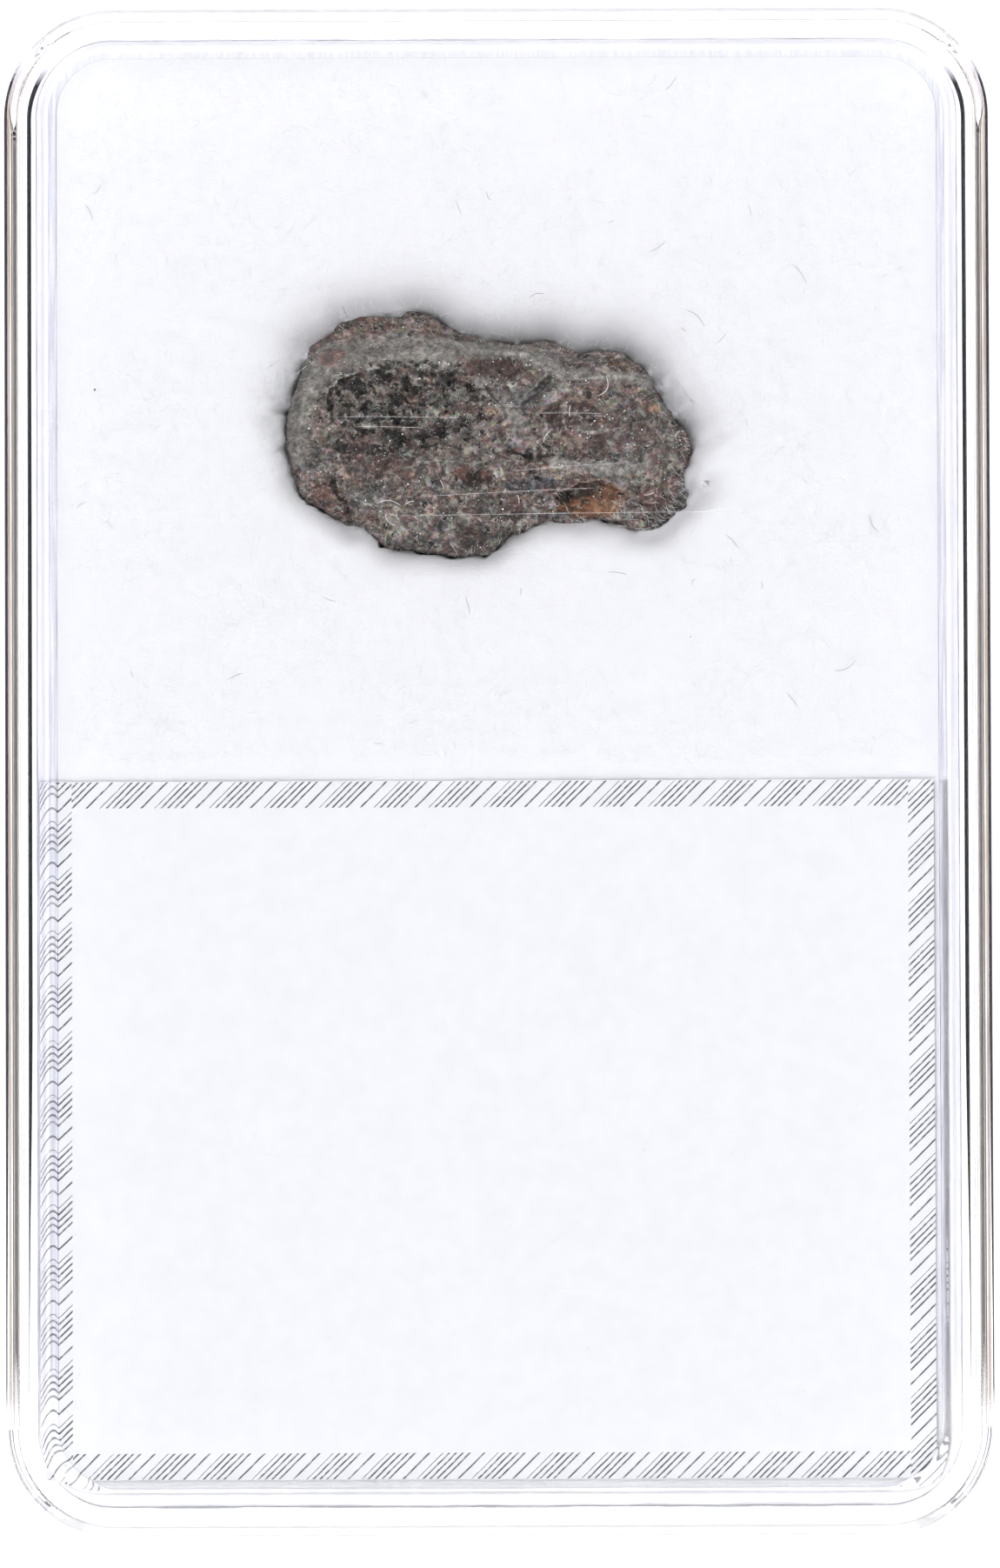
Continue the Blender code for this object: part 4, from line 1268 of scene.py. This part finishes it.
class SPECIMEN_OT_bedding(Operator):
    """Shape the soft white filling and its loose fibres"""

    bl_idname = "specimen.bedding"
    bl_label = "Bedding"

    def execute(self, context):
        bedding = settings("bedding")
        stone_tree = mesh_tree(bpy.data.objects["breccia_stone"])
        mesh = bedding_mesh(stone_tree)
        # painted shade for the filling, strongest close to the stone on its upper side
        painted_stone_shade = []
        for vert in mesh.vertices:
            near, _, _, distance = stone_tree.find_nearest(vert.co)
            shade = lee_side(vert.co - near)
            painted_stone_shade.append(shade * math.exp(-((distance / SHADE_REACH) ** 1.2)))
        mesh.attributes.new("painted_stone_shade", "FLOAT", "POINT").data.foreach_set("value", painted_stone_shade)
        piece = link_mesh("soft_bedding", mesh, soft_white())
        mesh.shade_smooth()
        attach(piece, "root")
        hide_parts("foam_pad")

        tree = mesh_tree(piece)
        chance = random.Random(5)
        low, high = PAD_LOW / MM, PAD_HIGH / MM
        paths = []
        while len(paths) < bedding.fibres:
            x = chance.uniform(low.x + 1, high.x - 1)
            y = chance.uniform(LABEL_HIGH.y / MM + 0.6, high.y - 1)
            length, lift = chance.uniform(0.15, 0.7), chance.uniform(0.02, 0.10)
            made = surface_fibre(chance, tree, x, y, length, lift, 0.008, 4)
            if made:
                paths.append(made)
        fuzz = threads("bedding_fibres", paths, bpy.data.materials["bedding_fibre"])
        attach(fuzz, "root")
        return {"FINISHED"}


class SPECIMEN_OT_label(Operator):
    """Lay the paper label with its hatched border under the lid"""

    bl_idname = "specimen.label"
    bl_label = "Label"

    def execute(self, context):
        low, high = LABEL_LOW / MM, LABEL_HIGH / MM
        counts = (64, 50, 1)

        def place(i, j, k):
            x = low.x + (high.x - low.x) * i / counts[0]
            y = low.y + (high.y - low.y) * j / counts[1]
            wave = 0.05 * noise.noise(Vector((x, y, 0)) * 0.16)
            wave += 0.012 * noise.noise(Vector((x, y, 4)) * 0.6)
            return x, y, high.z - PAPER * (2 - k) + wave

        card = link_mesh("paper_label", closed_block("paper_label", counts, place), label_paper())
        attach(card, "root")
        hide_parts("label_card")
        return {"FINISHED"}


def photo_place(px, py):
    """The place under the lid (mm) that a pixel of the photograph shows."""
    x = (px - PHOTO_LID_CENTRE_PX[0]) * MM_PER_PX
    y = (PHOTO_LID_CENTRE_PX[1] - py) * MM_PER_PX
    return x, y


class SPECIMEN_OT_wear(Operator):
    """Scratch the lid and scatter hairs and dust"""

    bl_idname = "specimen.wear"
    bl_label = "Marks of handling"

    def execute(self, context):
        wear = settings("wear")
        chance = random.Random(wear.seed)
        panel = LID_HIGH.z / MM
        half_x, half_y = LID_HIGH.x / MM - PANEL_INSET, LID_HIGH.y / MM - PANEL_INSET
        paths = []
        for x0, y0, x1, y1 in LID_SCRATCHES:
            start, end = Vector((x0, y0, panel)), Vector((x1, y1, panel))
            paths.append((bowed_path(start, end, 0.02, 12), 0.0035))
        for _ in range(wear.scratches):
            x, y = chance.uniform(-half_x, half_x), chance.uniform(-half_y, half_y)
            angle = chance.gauss(0.05, 0.5) if chance.random() < 0.6 else chance.uniform(0, math.pi)
            length = chance.uniform(0.5, 3.5)
            x1 = max(-half_x, min(half_x, x + length * math.cos(angle)))
            y1 = max(-half_y, min(half_y, y + length * math.sin(angle)))
            path = bowed_path(Vector((x, y, panel)), Vector((x1, y1, panel)), chance.gauss(0, 0.05), 6)
            paths.append((path, chance.uniform(0.001, 0.003)))
        marks = threads("lid_scratches", paths, scratch_white())
        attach(marks, "root")

        tree = mesh_tree(bpy.data.objects["soft_bedding"])
        hair_level, dust_level = PAD_HIGH.z / MM + 0.12, PAD_HIGH.z / MM + 0.1
        paths = []
        for x0, y0, x1, y1 in HAIRS_PX:
            start = Vector((*photo_place(x0, y0), hair_level))
            end = Vector((*photo_place(x1, y1), hair_level))
            paths.append((bowed_path(start, end, chance.gauss(0, 0.05), 6), 0.008))
        for _ in range(wear.hairs):
            x, y = chance.uniform(-15, 15), chance.uniform(0.6, 25)
            made = surface_fibre(chance, tree, x, y, chance.uniform(0.3, 0.7), 0.08, 0.006, 6)
            if made:
                paths.append(made)
        hairs = threads("stray_hairs", paths, fibre("grey_hair", (0.30, 0.30, 0.32), (0.16, 0.16, 0.17)))
        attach(hairs, "root")

        up = Vector((0, 0, 1))
        places = []
        for px, py, size in SPECKS_PX:
            places.append((Vector((*photo_place(px, py), dust_level)), up, size, 0.4))
        for _ in range(wear.specks):
            x, y = chance.uniform(-15.5, 15.5), chance.uniform(-25, 25)
            size = 0.008 + 0.012 * chance.random() ** 2
            places.append((Vector((x, y, dust_level)), up, size, chance.uniform(0, 3)))
        dark_dust = fibre("dark_dust", (0.02, 0.02, 0.02), (0.05, 0.05, 0.05))
        dust = crystal_cluster("dust_specks", places, dark_dust)
        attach(dust, "root")
        return {"FINISHED"}


def soft_world(strength):
    """Even soft light, brighter from the near end, dimmer low at the sides and straight above."""
    world = bpy.data.worlds.new("soft_light")
    bpy.context.scene.world = world
    graph = Graph(world, "Generated", 1.0)
    near_end = graph.ramp(graph.axis("Y"), -0.9, 0.7, 1.25, 0.80)
    above = graph.ramp(graph.axis("Z"), 0.955, 0.985, 1.0, 0.0)
    side = graph.ramp(abs(graph.axis("X")), 0.70, 0.93)
    low = graph.ramp(graph.axis("Z"), 0.18, 0.52, 1.0, 0.0)
    side_shade = graph.ramp(side * low, 0.0, 1.0, 1.0, 0.42)
    light = {
        "Color": graph.mix(side_shade, (1.0, 0.86, 0.76), (0.985, 0.985, 1.0)),
        "Strength": near_end * above * side_shade * strength,
    }
    seen = {
        0: graph.node("LightPath", {}, "Is Camera Ray"),
        1: graph.node("Background", light),
        2: graph.node("Background", {"Color": (0.93, 0.93, 0.94)}),
    }
    chosen = graph.node("MixShader", seen)
    graph.tree.links.new(chosen.socket, graph.tree.nodes["World Output"].inputs["Surface"])
    world.cycles.sampling_method = "NONE"


class SPECIMEN_OT_stage(Operator):
    """Set the floor, the soft light and the camera"""

    bl_idname = "specimen.stage"
    bl_label = "Stage"

    def execute(self, context):
        stage = settings("stage")
        steps = 8
        row = steps + 1
        side = stage.floor_size / MM
        lines = [side * (i / steps - 0.5) for i in range(row)]
        verts = [(x, y, 0.0) for x in lines for y in lines]
        corners = [i * row + j for i in range(steps) for j in range(steps)]
        faces = [(first, first + row, first + row + 1, first + 1) for first in corners]
        floor = link_mesh("pale_floor", mesh_from("pale_floor", verts, faces), pale_floor())
        soft_world(stage.light)

        data = bpy.data.cameras.new("photo_view")
        data.lens = stage.lens
        data.sensor_width = 36.0
        camera = bpy.data.objects.new("photo_view", data)
        context.scene.collection.objects.link(camera)
        context.scene.camera = camera
        back = Vector((0, -math.sin(stage.tilt), math.cos(stage.tilt)))
        upward = Vector((0, math.cos(stage.tilt), math.sin(stage.tilt)))
        shift_x = (PHOTO_WIDTH_PX / 2 - PHOTO_LID_CENTRE_PX[0]) * MM_PER_PX * MM
        shift_y = (PHOTO_HEIGHT_PX / 2 - PHOTO_LID_CENTRE_PX[1]) * MM_PER_PX * MM
        target = Vector((shift_x, 0, LID_HIGH.z)) - upward * shift_y
        distance = PHOTO_HEIGHT_PX * MM_PER_PX * MM * data.lens / data.sensor_width
        camera.location = target + back * distance
        turned = (-back).to_track_quat("-Z", "Y").to_matrix() @ Matrix.Rotation(stage.roll, 3, "Z")
        camera.rotation_euler = turned.to_euler()
        data.clip_start = distance * 0.1
        data.clip_end = distance * 10
        context.scene.view_settings.view_transform = "Standard"
        context.scene.cycles.glossy_bounces = 8
        return {"FINISHED"}


class SPECIMEN_PT_panel(Panel):
    """Lists the specimen's pieces and their values"""

    bl_idname = "SPECIMEN_PT_panel"
    bl_label = "Boxed specimen"
    bl_space_type = "VIEW_3D"
    bl_region_type = "UI"
    bl_category = "Specimen"

    def draw(self, context):
        for name, operator in PIECES:
            box = self.layout.box()
            box.operator(operator)
            group = settings(name)
            for prop in group.bl_rna.properties:
                if prop.identifier not in ("rna_type", "name"):
                    box.prop(group, prop.identifier)


GROUPS = {
    "box": SPECIMEN_PG_box,
    "stone": SPECIMEN_PG_stone,
    "bedding": SPECIMEN_PG_bedding,
    "label": SPECIMEN_PG_label,
    "wear": SPECIMEN_PG_wear,
    "stage": SPECIMEN_PG_stage,
}
PIECES = [(name, f"specimen.{name}") for name in GROUPS]
CLASSES = [
    *GROUPS.values(),
    SPECIMEN_OT_box,
    SPECIMEN_OT_stone,
    SPECIMEN_OT_bedding,
    SPECIMEN_OT_label,
    SPECIMEN_OT_wear,
    SPECIMEN_OT_stage,
    SPECIMEN_PT_panel,
]


def register():
    """Add the classes and the scene's property groups."""
    for cls in CLASSES:
        bpy.utils.register_class(cls)
    for name, group in GROUPS.items():
        setattr(bpy.types.Scene, "specimen_" + name, PointerProperty(type=group))


def unregister():
    """Take them away again."""
    for name in GROUPS:
        delattr(bpy.types.Scene, "specimen_" + name)
    for cls in reversed(CLASSES):
        bpy.utils.unregister_class(cls)


def main():
    """Make every piece in order."""
    register()
    bpy.ops.specimen.box()
    bpy.ops.specimen.stone()
    bpy.ops.specimen.bedding()
    bpy.ops.specimen.label()
    bpy.ops.specimen.wear()
    bpy.ops.specimen.stage()


if __name__ == "__main__":
    main()
